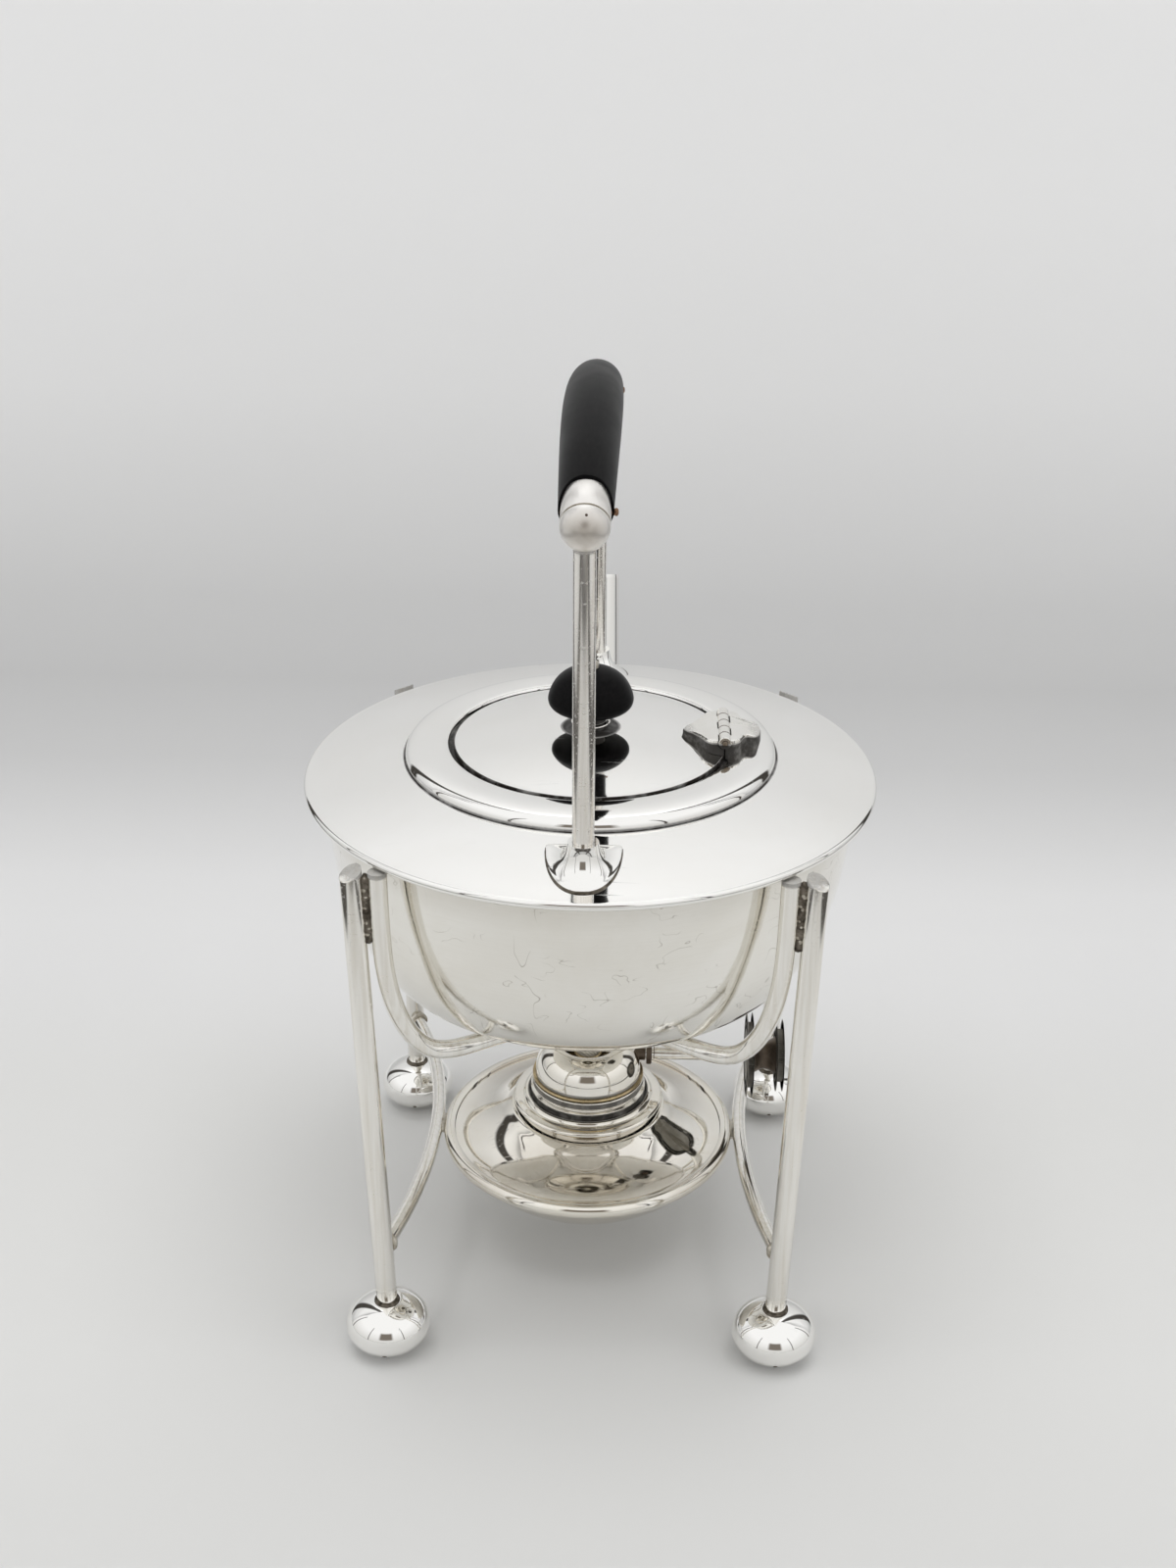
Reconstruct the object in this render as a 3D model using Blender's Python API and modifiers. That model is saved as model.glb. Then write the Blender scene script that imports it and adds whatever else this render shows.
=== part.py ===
# Spirit kettle on its stand: a covered kettle with an arched handle, a four
# legged stand with two cradle bars, and a spirit lamp with a winding burner.
# Units are metres and +Z is up. The kettle's spout points towards +Y.
# Sizes are worked out upwards from the table the stand rests on.

import math

import bmesh
import bpy
from mathutils import Vector

# Sizes shared by the whole object
seat_gap = 0.0003            # clearance wherever two pieces meet
cut_overrun = 0.002          # how far every cutter passes the piece it cuts

# Stand: legs, feet and solder joints
leg_radius = 0.0035
leg_rim_gap = 0.0018         # between the kettle's rim and the legs' tops
leg_across_share = 0.706     # direction of each leg from the middle
leg_along_share = 0.708
leg_lean_front = 0.0060      # how far the front feet stand in from the legs' tops
leg_lean_rear = -0.0004      # the rear feet stand out a little
leg_lean_along = -0.0016
leg_top_drop = 0.0017        # the legs end this far below the kettle's rim
leg_cut_drop = 0.0036        # slope of the cut across a leg's top end
foot_radius = 0.0142
foot_height = 0.0185
foot_flat_radius = 0.0050
foot_socket_depth = 0.0055
foot_vent_radius = 0.0008
foot_vent_depth = 0.0030
foot_vent_height = 0.0045

# Stand: the two bars that cradle the kettle
bar_radius = 0.0030
bar_height = 0.1112          # axis of the level stretch under the kettle
bar_joint_length = 0.0120    # soldered along the leg
bar_inset = 0.0115           # the level stretch from the edge of the bowl's flat
bar_across_shares = (0.950, 0.899, 0.833, 0.771, 0.700, 0.568, 0.457, 0.229, 0.0)
bar_along_shares = (1.0, 0.95, 0.75, 0.55, 0.45, 0.30, 0.20, 0.05, 0.0)
bar_drop_shares = (0.849, 0.538, 0.249, 0.076, 0.0, 0.0, 0.0, 0.0, 0.0)

# Stand: the side bows that carry the lamp
bow_radius = 0.0025
bow_height = 0.0397

# Lamp reservoir
lamp_radius = 0.0524
lamp_bead_radius = 0.0027
lamp_wall = 0.0012
lamp_depth = 0.0237          # from the middle of the rim bead to the underside
lamp_top_rise = 0.0095       # the concave top climbs this much to the collar
collar_radius = 0.0269
collar_height = 0.0055
neck_radius = 0.0209         # the hole that the burner screws into

# Burner
ring_wall = 0.0031
ring_depth = 0.0072          # how far the threaded ring reaches down
ring_rise = 0.0064           # how far it stands out of the collar
ring_groove = 0.0012         # the deepest of the turned grooves
gallery_thickness = 0.0010
gallery_radius = 0.0199
dome_radius = 0.0189
dome_height = 0.0088
dome_mouth_radius = 0.0104
dome_wall = 0.0010
wick_radius = 0.0040
wick_show = 0.0017           # how far the wick stands out of its tube
wick_foot_room = 0.0063      # under the wick, for winding it down
tube_wall = 0.0007
tube_rise = 0.0048           # above the winder's spindle
tube_hang = 0.0053           # below the burner's floor

# Winder: the spindle that raises the wick
winder_rise = 0.0030         # the spindle's axis above the dome's base
spindle_radius = 0.0019
spindle_inner_radius = 0.0013
sprocket_radius = 0.0026
sprocket_root_radius = 0.0020
sprocket_width = 0.0030
sprocket_teeth = 10
bush_radius = 0.0028
bush_start = 0.0142
gland_radius = 0.0043
gland_length = 0.0020
gland_sides = 8
disc_inner_at = 0.0566
disc_inner_radius = 0.0137
disc_inner_width = 0.0017
disc_outer_radius = 0.0110
disc_outer_width = 0.0024
hub_length = 0.0085
hub_radius = 0.0072
hub_waist_radius = 0.0050
milling_depth = 0.00055
milling_inner_teeth = 64
milling_outer_teeth = 52

# Kettle body
bowl_side_width = 0.0256     # the curved side between the flat base and the widest part
bowl_depth = 0.0694
bowl_wall = 0.0012
shoulder_radius = 0.0950
shoulder_overhang = 0.0069   # how far its rim stands out past the bowl
shoulder_crown = 0.0115      # rise of the domed shoulder if it ran to the middle
shoulder_wall = 0.0012
shoulder_bead_radius = 0.0015
moulding_inset = 0.0055      # the moulding's outer edge from the foot of each post
moulding_width = 0.0145
moulding_height = 0.0047

# Spout
spout_root_radius = 0.0092
spout_tip_radius = 0.0075
spout_wall = 0.0010
spout_root_inset = 0.0201    # the axis starts this far inside the bowl's widest part
spout_root_height = 0.1300
spout_reach = 0.0480         # how far the tip leans out past the root
spout_rise = 0.0820
spout_reach_shares = (0.0, 0.40, 0.57, 0.69, 0.77, 0.845, 0.92, 1.0)
spout_rise_shares = (0.0, 0.195, 0.32, 0.455, 0.59, 0.73, 0.865, 1.0)

# Lid and its knob
lid_groove = 0.0015          # between the lid's edge and the moulding
lid_overlap = 0.0022         # how far the lid rests on the edge of the opening
lid_skirt_play = 0.0009      # between the skirt and the opening
lid_crown = 0.0063
lid_wall = 0.0012
lid_skirt_depth = 0.0050
collar_bead_radius = 0.0072
collar_bead_height = 0.0039
knob_radius = 0.0141
knob_height = 0.0147
knob_stem_radius = 0.0066
stud_radius = 0.0015
stud_head_radius = 0.0034
stud_head_height = 0.0014
nut_radius = 0.0026
nut_height = 0.0026

# Lid hinge
hinge_inset = 0.0014         # the pin from the lid's edge
hinge_above_lid = 0.0049     # height of the pin above the lid's edge
hinge_length = 0.0260
hinge_knuckles = 5
knuckle_radius = 0.0021
hinge_pin_radius = 0.0009
hinge_pin_play = 0.0002
leaf_height = 0.0009         # top of the leaves above the pin
leaf_half_width = 0.0096
leaf_lid_reach = 0.0136
leaf_body_reach = 0.0122

# Handle
handle_inset = 0.0165        # each post's middle from the shoulder's edge
post_radius = 0.0033
post_foot_radius = 0.0116
post_foot_height = 0.0086
post_foot_neck_radius = 0.0047
handle_height = 0.1054       # ferrule axis above the shoulder
arch_rise = 0.0133
ferrule_radius = 0.00715
ferrule_tip = 0.0009
scallop_half_width = 0.0086
scallop_depth = 0.0100
ferrule_length = 0.0105      # from the post to the end inside the grip
tenon_radius = 0.0040
tenon_length = 0.0090
grip_mid_radius = 0.0093
grip_end_radius = 0.0079
grip_end_inset = 0.0050      # the grip's ends from the middles of the posts
grip_pin_radius = 0.0012
grip_pin_proud = 0.0012      # on the hinge's side only
grip_pin_inset = 0.0085      # from the middle of the post
grip_pin_drop = 0.0012       # below the middle of the grip

# Fineness of the curved surfaces, in faces round
fine_round = 36
middle_round = 28
small_round = 20
pipe_round = 14
tiny_round = 10


# Heights and places that follow from the sizes above

def parabola(share):
    return 1 - share * share


bowl_radius = shoulder_radius - shoulder_overhang
bowl_flat_radius = bowl_radius - bowl_side_width
handle_reach = shoulder_radius - handle_inset
moulding_radius = handle_reach - post_foot_radius - moulding_inset
moulding_inner_radius = moulding_radius - moulding_width
lid_radius = moulding_inner_radius - lid_groove
mouth_radius = lid_radius - lid_overlap
lid_skirt_radius = mouth_radius - lid_skirt_play
hinge_across = lid_radius - hinge_inset
spout_root_along = bowl_radius - spout_root_inset
bar_level_along = bowl_flat_radius - bar_inset
leg_top_out = shoulder_radius + leg_rim_gap + leg_radius
leg_top_across = leg_top_out * leg_across_share
leg_top_along = leg_top_out * leg_along_share
bowl_base = bar_height + bar_radius + seat_gap
bowl_top = bowl_base + bowl_depth
shoulder_rim_top = (bowl_top + seat_gap + shoulder_wall
                    - shoulder_crown * parabola(bowl_radius / shoulder_radius))
leg_height = shoulder_rim_top - leg_top_drop


def shoulder_surface(radius):
    return shoulder_rim_top + shoulder_crown * parabola(radius / shoulder_radius)


lid_seat = shoulder_surface(mouth_radius) + seat_gap
lid_edge_top = lid_seat + lid_wall
lid_middle_top = lid_edge_top + lid_crown
hinge_height = lid_edge_top + hinge_above_lid
leaf_top = hinge_height + leaf_height
knob_collar_base = lid_middle_top + seat_gap
knob_base = knob_collar_base + collar_bead_height + seat_gap
knob_top = knob_base + knob_height
handle_axis = shoulder_surface(handle_reach) + handle_height
arch_crown = handle_axis + arch_rise
grip_half_length = handle_reach - grip_end_inset
grip_pin_along = handle_reach - grip_pin_inset
lamp_plate_edge = bow_height + 0.55 * lamp_bead_radius
lamp_plate_top = lamp_plate_edge + lamp_top_rise
collar_base = lamp_plate_top + seat_gap
collar_top = collar_base + collar_height
ring_radius = neck_radius - seat_gap
ring_base = collar_top - ring_depth
ring_top = collar_top + ring_rise
gallery_base = ring_top + seat_gap
gallery_top = gallery_base + gallery_thickness
dome_base = gallery_top + seat_gap
tube_radius = wick_radius + seat_gap + tube_wall
wick_foot = bow_height - lamp_depth + lamp_wall + wick_foot_room
winder_along = wick_radius + seat_gap + sprocket_radius
winder_height = dome_base + winder_rise
tube_top = winder_height + tube_rise
tube_foot = ring_base - tube_hang
wick_top = tube_top + wick_show
hub_start = disc_inner_at + disc_inner_width + seat_gap
disc_outer_at = hub_start + hub_length + seat_gap


def lid_surface(radius):
    return lid_edge_top + lid_crown * parabola(radius / lid_radius)


def arch_height(along):
    return arch_crown - arch_rise * (along / handle_reach) ** 2


def leg_place(side, end, height):
    # The middle of a leg at a height; side and end are 1 or -1.
    below = 1 - height / leg_height
    lean = leg_lean_front if end < 0 else leg_lean_rear
    return Vector((side * (leg_top_across - lean * below),
                   end * (leg_top_along - leg_lean_along * below), height))


# Making, placing and cutting

def clear_scene():
    for thing in list(bpy.data.objects):
        bpy.data.objects.remove(thing, do_unlink=True)


def new_collection(name):
    group = bpy.data.collections.new(name)
    bpy.context.scene.collection.children.link(group)
    return group


def finish(name, colour, metallic, roughness):
    material = bpy.data.materials.new(name)
    material.use_nodes = True
    shader = material.node_tree.nodes["Principled BSDF"]
    shader.inputs["Base Color"].default_value = (*colour, 1)
    shader.inputs["Metallic"].default_value = metallic
    shader.inputs["Roughness"].default_value = roughness
    return material


def guide(name, place, parent=None):
    empty = bpy.data.objects.new(name, None)
    empty.empty_display_size = knuckle_radius
    parts.objects.link(empty)
    if parent:
        empty.parent = parent
        empty["place"] = place
        empty.location = Vector(place) - Vector(parent["place"])
    else:
        empty["place"] = place
        empty.location = place
    return empty


def add_object(name, mesh, material, parent, place=(0, 0, 0), turn=(0, 0, 0), cutter=False):
    thing = bpy.data.objects.new(name, mesh)
    (cutters if cutter else parts).objects.link(thing)
    thing.parent = parent
    thing.location = Vector(place) - Vector(parent["place"])
    thing.rotation_euler = turn
    if material:
        mesh.materials.append(material)
    if cutter:
        thing.hide_render = True
        thing.display_type = "WIRE"
    return thing


def turned(name, outline, rounds, material, parent, place=(0, 0, 0), turn=(0, 0, 0),
           closed=False, cutter=False):
    # A turned piece: the outline is (radius, height) pairs that run down its outer side.
    mesh = bpy.data.meshes.new(name)
    points = [(radius, 0, height) for radius, height in outline]
    edges = [(step, step + 1) for step in range(len(points) - 1)]
    if closed:
        edges.append((len(points) - 1, 0))
    mesh.from_pydata(points, edges, [])
    thing = add_object(name, mesh, material, parent, place, turn, cutter)
    screw = thing.modifiers.new("Turn", "SCREW")
    screw.steps = rounds
    screw.render_steps = rounds
    screw.use_merge_vertices = True
    screw.merge_threshold = 0.00001
    screw.use_smooth_shade = True
    return thing


def rod(name, start, end, radius, rounds, material, parent, cutter=False, end_radius=None):
    # A straight round bar between two points, with its origin at the start.
    start = Vector(start)
    end = Vector(end)
    length = (end - start).length
    shape = bmesh.new()
    bmesh.ops.create_cone(shape, cap_ends=True, segments=rounds, radius1=radius,
                          radius2=radius if end_radius is None else end_radius, depth=length)
    bmesh.ops.translate(shape, verts=shape.verts, vec=(0, 0, length / 2))
    mesh = bpy.data.meshes.new(name)
    shape.to_mesh(mesh)
    shape.free()
    mesh.shade_smooth()
    mesh.set_sharp_from_angle(angle=math.radians(40))
    turn = (end - start).to_track_quat("Z", "Y").to_euler()
    return add_object(name, mesh, material, parent, start, turn, cutter)


def slab(name, corner_low, corner_high, parent):
    # A plain rectangular cutter between two corners.
    low = Vector(corner_low)
    high = Vector(corner_high)
    shape = bmesh.new()
    bmesh.ops.create_cube(shape, size=1)
    bmesh.ops.scale(shape, verts=shape.verts, vec=high - low)
    mesh = bpy.data.meshes.new(name)
    shape.to_mesh(mesh)
    shape.free()
    return add_object(name, mesh, None, parent, (low + high) / 2, cutter=True)


def curve_to_piece(curve_object, material, parent, place, cutter=False):
    # Turns a curve into a welded mesh object of the same name.
    bpy.context.view_layer.update()
    shown = curve_object.evaluated_get(bpy.context.evaluated_depsgraph_get())
    mesh = bpy.data.meshes.new_from_object(shown)
    shape = bmesh.new()
    shape.from_mesh(mesh)
    bmesh.ops.remove_doubles(shape, verts=shape.verts, dist=0.00001)
    bmesh.ops.recalc_face_normals(shape, faces=shape.faces)
    shape.to_mesh(mesh)
    shape.free()
    mesh.materials.clear()
    mesh.shade_smooth()
    mesh.set_sharp_from_angle(angle=math.radians(40))
    name = curve_object.name
    data = curve_object.data
    bpy.data.objects.remove(curve_object, do_unlink=True)
    bpy.data.curves.remove(data)
    mesh.name = name
    return add_object(name, mesh, material, parent, place, cutter=cutter)


def smooth_path(points, steps):
    # Points on a Catmull-Rom curve through the given points.
    ends = [points[0] * 2 - points[1]] + list(points) + [points[-1] * 2 - points[-2]]
    path = []
    for index in range(len(points) - 1):
        before, start, stop, after = ends[index:index + 4]
        for step in range(steps):
            share = step / steps
            square = share * share
            cube = square * share
            path.append((start * 2 + (stop - before) * share
                         + (before * 2 - start * 5 + stop * 4 - after) * square
                         + (start * 3 - before - stop * 3 + after) * cube) / 2)
    path.append(points[-1])
    return path


def pipe(name, path, radius, side_steps, material, parent, radii=None, cutter=False):
    # A round bar that follows a path; radii are shares of the radius at each point.
    curve = bpy.data.curves.new(name, "CURVE")
    curve.dimensions = "3D"
    curve.bevel_depth = radius
    curve.bevel_resolution = side_steps
    curve.use_fill_caps = True
    line = curve.splines.new("POLY")
    line.points.add(len(path) - 1)
    for index, point in enumerate(path):
        line.points[index].co = (*point, 1)
        line.points[index].radius = radii[index] if radii else 1
    thing = bpy.data.objects.new(name, curve)
    parts.objects.link(thing)
    return curve_to_piece(thing, material, parent, (0, 0, 0), cutter)


def hollow_tube(name, path, outer_radii, inner_radii, sides, material, parent):
    # A bent tube with a bore, open at both ends; its path stays in the YZ plane.
    rings = []
    for radii, order in ((outer_radii, 1), (inner_radii, -1)):
        for index in range(len(path))[::order]:
            ahead = path[min(index + 1, len(path) - 1)] - path[max(index - 1, 0)]
            across = Vector((1, 0, 0))
            upward = across.cross(ahead.normalized())
            ring = []
            for side in range(sides):
                angle = 2 * math.pi * side / sides
                offset = across * math.cos(angle) + upward * math.sin(angle)
                ring.append(path[index] + offset * radii[index])
            rings.append(ring)
    shape = bmesh.new()
    points = [[shape.verts.new(point) for point in ring] for ring in rings]
    for ring, following in zip(points, points[1:] + points[:1]):
        for side in range(sides):
            turn = (side + 1) % sides
            shape.faces.new((ring[side], ring[turn], following[turn], following[side]))
    bmesh.ops.recalc_face_normals(shape, faces=shape.faces)
    mesh = bpy.data.meshes.new(name)
    shape.to_mesh(mesh)
    shape.free()
    mesh.shade_smooth()
    mesh.set_sharp_from_angle(angle=math.radians(40))
    return add_object(name, mesh, material, parent)


def plate(name, outline, low, high, material, parent, cutter=False):
    # A flat outline of (across, along) pairs, given thickness between two heights.
    curve = bpy.data.curves.new(name, "CURVE")
    curve.dimensions = "2D"
    curve.fill_mode = "BOTH"
    curve.extrude = (high - low) / 2
    line = curve.splines.new("POLY")
    line.points.add(len(outline) - 1)
    for index, (across, along) in enumerate(outline):
        line.points[index].co = (across, along, 0, 1)
    line.use_cyclic_u = True
    thing = bpy.data.objects.new(name, curve)
    parts.objects.link(thing)
    return curve_to_piece(thing, material, parent, (0, 0, (low + high) / 2), cutter)


def combine(piece, other, operation):
    step = piece.modifiers.new(operation.capitalize(), "BOOLEAN")
    step.operation = operation
    step.object = other
    step.solver = "EXACT"
    return piece


def cut(piece, cutter):
    return combine(piece, cutter, "DIFFERENCE")


def arc(middle, radius, start, stop, steps):
    # Points of an arc in the (radius, height) plane, in degrees from the outward side.
    points = []
    for step in range(steps + 1):
        angle = math.radians(start + (stop - start) * step / steps)
        points.append((middle[0] + radius * math.cos(angle), middle[1] + radius * math.sin(angle)))
    return points


# Stand

def make_leg(name, side, end):
    # The tube's lower end sits in the foot's socket and its top is cut aslant.
    foot_end = leg_place(side, end, foot_height - foot_socket_depth + seat_gap)
    top_end = leg_place(side, end, leg_height)
    leg = rod(name, foot_end, top_end, leg_radius, pipe_round, bright_silver, stand)
    slope = Vector((side, end, 0)).normalized() * leg_radius
    wedge = plate(name + "_end_cut", [(-leg_radius * 3, 0), (leg_radius * 3, 0),
                                      (leg_radius * 3, leg_radius * 3),
                                      (-leg_radius * 3, leg_radius * 3)],
                  -leg_radius * 3, leg_radius * 3, None, stand, cutter=True)
    tilt = math.atan2(leg_cut_drop, leg_radius * 2)
    wedge.location = leg_place(side, end, leg_height - leg_cut_drop / 2)
    wedge.rotation_euler = (math.radians(90) + tilt, 0, math.atan2(slope.x, -slope.y))
    cut(leg, wedge)


def make_foot(name, side, end):
    # A squashed ball with a flat to stand on, a socket for the leg and a vent hole.
    base = leg_place(side, end, foot_height - foot_socket_depth / 2)
    middle = foot_height / 2
    crown = foot_height - seat_gap
    socket = leg_radius + seat_gap
    outline = [(0, foot_height - foot_socket_depth), (socket, foot_height - foot_socket_depth),
               (socket, crown)]
    steps = 8
    start = math.acos((socket + foot_vent_radius) / foot_radius)
    stop = math.acos(foot_flat_radius / foot_radius)
    for step in range(steps + 1):
        angle = start + (-stop - start) * step / steps
        outline.append((foot_radius * math.cos(angle),
                        middle + middle * math.sin(angle) / math.sin(stop if angle < 0 else start)))
    outline.append((0, 0))
    foot = turned(name, outline, small_round, bright_silver, stand, (base.x, base.y, 0))
    vent = rod(name + "_vent_cut", (base.x, base.y - foot_radius - cut_overrun, foot_vent_height),
               (base.x, base.y - foot_radius + foot_vent_depth, foot_vent_height),
               foot_vent_radius, 8, None, stand, cutter=True)
    cut(foot, vent)


def cradle_path(end):
    # One half of a cradle bar, from the leg's top to the middle under the kettle.
    beside = leg_radius + bar_radius + seat_gap * 2
    top = shoulder_rim_top - shoulder_bead_radius * 2
    joined = [leg_place(1, end, height) for height in (top, top - bar_joint_length)]
    half = [Vector((point.x - beside, abs(point.y), point.z)) for point in joined]
    start = half[1]
    for across, along, drop in zip(bar_across_shares, bar_along_shares, bar_drop_shares):
        half.append(Vector((start.x * across,
                            bar_level_along + (start.y - bar_level_along) * along,
                            bar_height + (start.z - bar_height) * drop)))
    left = [Vector((-point.x, point.y * end, point.z)) for point in half[:-1]]
    right = [Vector((point.x, point.y * end, point.z)) for point in half]
    return left + right[::-1]


def make_cradle_bar(name, end):
    pipe(name, smooth_path(cradle_path(end), 2), bar_radius, 3, bright_silver, stand)


def make_side_bow(name, side):
    # Two arcs in plan that meet where they touch the lamp's rim and run out to the legs.
    touch = lamp_radius + seat_gap + bow_radius
    steps = 8
    halves = []
    for end in (-1, 1):
        end_point = leg_place(side, end, bow_height)
        sagitta = abs(end_point.x) - touch
        sweep_radius = (end_point.y ** 2 + sagitta ** 2) / (2 * sagitta)
        half = []
        for step in range(steps + 1):
            angle = math.asin(abs(end_point.y) / sweep_radius) * step / steps
            across = touch + sweep_radius - sweep_radius * math.cos(angle)
            half.append(Vector((side * across, end * sweep_radius * math.sin(angle), bow_height)))
        halves.append(half)
    bow = pipe(name, halves[0][::-1] + halves[1][1:], bow_radius, 2, bright_silver, stand)
    for end in (-1, 1):
        reach = bow_radius + cut_overrun
        saddle = rod(name + "_saddle_cut", leg_place(side, end, bow_height - reach),
                     leg_place(side, end, bow_height + reach), leg_radius + seat_gap,
                     small_round, None, stand, cutter=True)
        cut(bow, saddle)


def make_stand():
    for end_name, end in (("front", -1), ("rear", 1)):
        for side_name, side in (("left", -1), ("right", 1)):
            make_leg("leg_" + end_name + "_" + side_name, side, end)
            make_foot("foot_" + end_name + "_" + side_name, side, end)
        make_cradle_bar("cradle_bar_" + end_name, end)
    make_side_bow("side_bow_left", -1)
    make_side_bow("side_bow_right", 1)


# Lamp

def make_reservoir():
    bead_middle = lamp_radius - lamp_bead_radius
    inner_lip = bead_middle - lamp_bead_radius * 0.5
    belly = lamp_radius - lamp_wall
    radius_shares = (0.0, 0.35, 0.551, 0.70, 0.82, 0.90, 0.961)
    drop_shares = (1.0, 0.966, 0.865, 0.705, 0.494, 0.316, 0.156)
    wall_shares = (1.0, 1.0, 1.0, 0.9, 0.7, 0.5, 0.0)
    inside = []
    outside = []
    for radius_share, drop_share, wall_share in zip(radius_shares, drop_shares, wall_shares):
        height = bow_height - lamp_depth * drop_share
        inside.append(((belly - lamp_wall) * radius_share, height + lamp_wall * wall_share))
        outside.append((belly * radius_share, height))
    neck = [(inner_lip, bow_height - lamp_bead_radius), (inner_lip, bow_height + lamp_bead_radius * 0.8)]
    bead = arc((bead_middle, bow_height), lamp_bead_radius, 90, -75, 5)
    turned("lamp_reservoir", inside + neck + bead + outside[::-1], fine_round, bright_silver, lamp)


def make_lamp_top():
    # A concave plate between the rim and the collar, with the hole for the burner.
    edge = lamp_radius - lamp_bead_radius * 1.5 - seat_gap
    level = collar_radius + seat_gap
    radius_shares = (0.0, 0.20, 0.46, 0.76, 1.0)
    rise_shares = (1.0, 0.65, 0.29, 0.06, 0.0)
    top_side = [(neck_radius, lamp_plate_top)]
    for radius_share, rise_share in zip(radius_shares, rise_shares):
        top_side.append((level + (edge - level) * radius_share,
                         lamp_plate_edge + lamp_top_rise * rise_share))
    under_side = [(radius, height - lamp_wall) for radius, height in top_side[::-1]]
    turned("lamp_top", top_side + under_side, fine_round, bright_silver, lamp, closed=True)


def make_lamp_collar():
    width_shares = (0.0, 0.18, 0.29, 0.87, 1.0, 1.0, 0.0)
    height_shares = (1.0, 1.0, 0.80, 0.70, 0.54, 0.0, 0.0)
    outline = []
    for width_share, height_share in zip(width_shares, height_shares):
        outline.append((neck_radius + (collar_radius - neck_radius) * width_share,
                        collar_base + collar_height * height_share))
    turned("lamp_collar", outline, middle_round, bright_silver, lamp, closed=True)


# Burner

def make_burner_ring():
    # The threaded ring with turned grooves, and the floor that closes the lamp.
    inner = ring_radius - ring_wall
    floor_hole = tube_radius + seat_gap
    floor_top = ring_base + gallery_thickness
    groove_shares = (0.5, 0.5, 1.0, 1.0, 0.0, 0.0, 0.5, 0.5, 0.0)
    rise_shares = (1.0, 0.56, 0.50, 0.425, 0.375, 0.20, 0.15, 0.05, 0.0)
    outline = [(inner, ring_top)]
    for groove_share, rise_share in zip(groove_shares, rise_shares):
        outline.append((ring_radius - ring_groove * groove_share, collar_top + ring_rise * rise_share))
    outline += [(ring_radius, ring_base), (floor_hole, ring_base), (floor_hole, floor_top),
                (inner, floor_top)]
    turned("burner_ring", outline, middle_round, dark_brass, burner_lift, closed=True)


def make_burner():
    hole = tube_radius + seat_gap
    turned("burner_gallery", [(hole, gallery_top), (gallery_radius, gallery_top),
                              (gallery_radius, gallery_base), (hole, gallery_base)],
           middle_round, brass, burner, closed=True)
    outer = [(dome_mouth_radius, dome_base + dome_height * 0.97)]
    inner = []
    radius_shares = (0.12, 0.44, 0.74, 0.94, 1.0)
    height_shares = (1.0, 0.90, 0.67, 0.36, 0.0)
    for radius_share, height_share in zip(radius_shares, height_shares):
        outer.append((dome_mouth_radius + (dome_radius - dome_mouth_radius) * radius_share,
                      dome_base + dome_height * height_share))
        inner.append((dome_mouth_radius + (dome_radius - dome_wall - dome_mouth_radius) * radius_share,
                      dome_base + (dome_height - dome_wall) * height_share))
    dome = turned("burner_dome", outer + inner[::-1], middle_round, bright_silver, burner, closed=True)
    bush_end = ring_radius
    bush_cut = rod("bush_hole_cut", (0, winder_along, winder_height),
                   (bush_end + cut_overrun, winder_along, winder_height),
                   bush_radius + seat_gap, small_round, None, burner, cutter=True)
    cut(dome, bush_cut)
    tube = turned("wick_tube", [(wick_radius + seat_gap, tube_top), (tube_radius, tube_top),
                                (tube_radius, tube_foot), (wick_radius + seat_gap, tube_foot)],
                  small_round, brass, burner, closed=True)
    window = slab("wick_window_cut",
                  (-sprocket_width / 2 - seat_gap, wick_radius / 2, winder_height - sprocket_radius - seat_gap),
                  (sprocket_width / 2 + seat_gap, tube_radius + cut_overrun,
                   winder_height + sprocket_radius + seat_gap), burner)
    cut(tube, window)
    along_x = (0, math.radians(90), 0)
    bore = spindle_radius + seat_gap
    turned("winder_bush", [(bore, bush_end - bush_start), (bush_radius, bush_end - bush_start),
                           (bush_radius, 0), (bore, 0)], small_round, dark_brass, burner,
           (bush_start, winder_along, winder_height), along_x, closed=True)
    turned("winder_gland", [(bore, gland_length), (gland_radius, gland_length),
                            (gland_radius, 0), (bore, 0)], gland_sides, dark_brass, burner,
           (bush_end + seat_gap, winder_along, winder_height), along_x, closed=True)


def milled_outline(radius, depth, teeth):
    points = []
    for step in range(teeth * 2):
        angle = math.pi * step / teeth
        reach = radius - depth * (step % 2)
        points.append((reach * math.cos(angle), reach * math.sin(angle)))
    return points


def make_toothed_wheel(name, start, width, radius, depth, teeth, material):
    # A toothed disc on the spindle, with its bore; start is its place along the spindle.
    wheel = plate(name, milled_outline(radius, depth, teeth), 0, width, material, winder)
    wheel.location = (start + width / 2, 0, 0)
    wheel.rotation_euler = (0, math.radians(90), 0)
    bore = rod(name + "_bore_cut", (start - cut_overrun, winder_along, winder_height),
               (start + width + cut_overrun, winder_along, winder_height),
               (spindle_inner_radius if start < 0 else spindle_radius) + seat_gap,
               pipe_round, None, winder, cutter=True)
    cut(wheel, bore)


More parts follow.
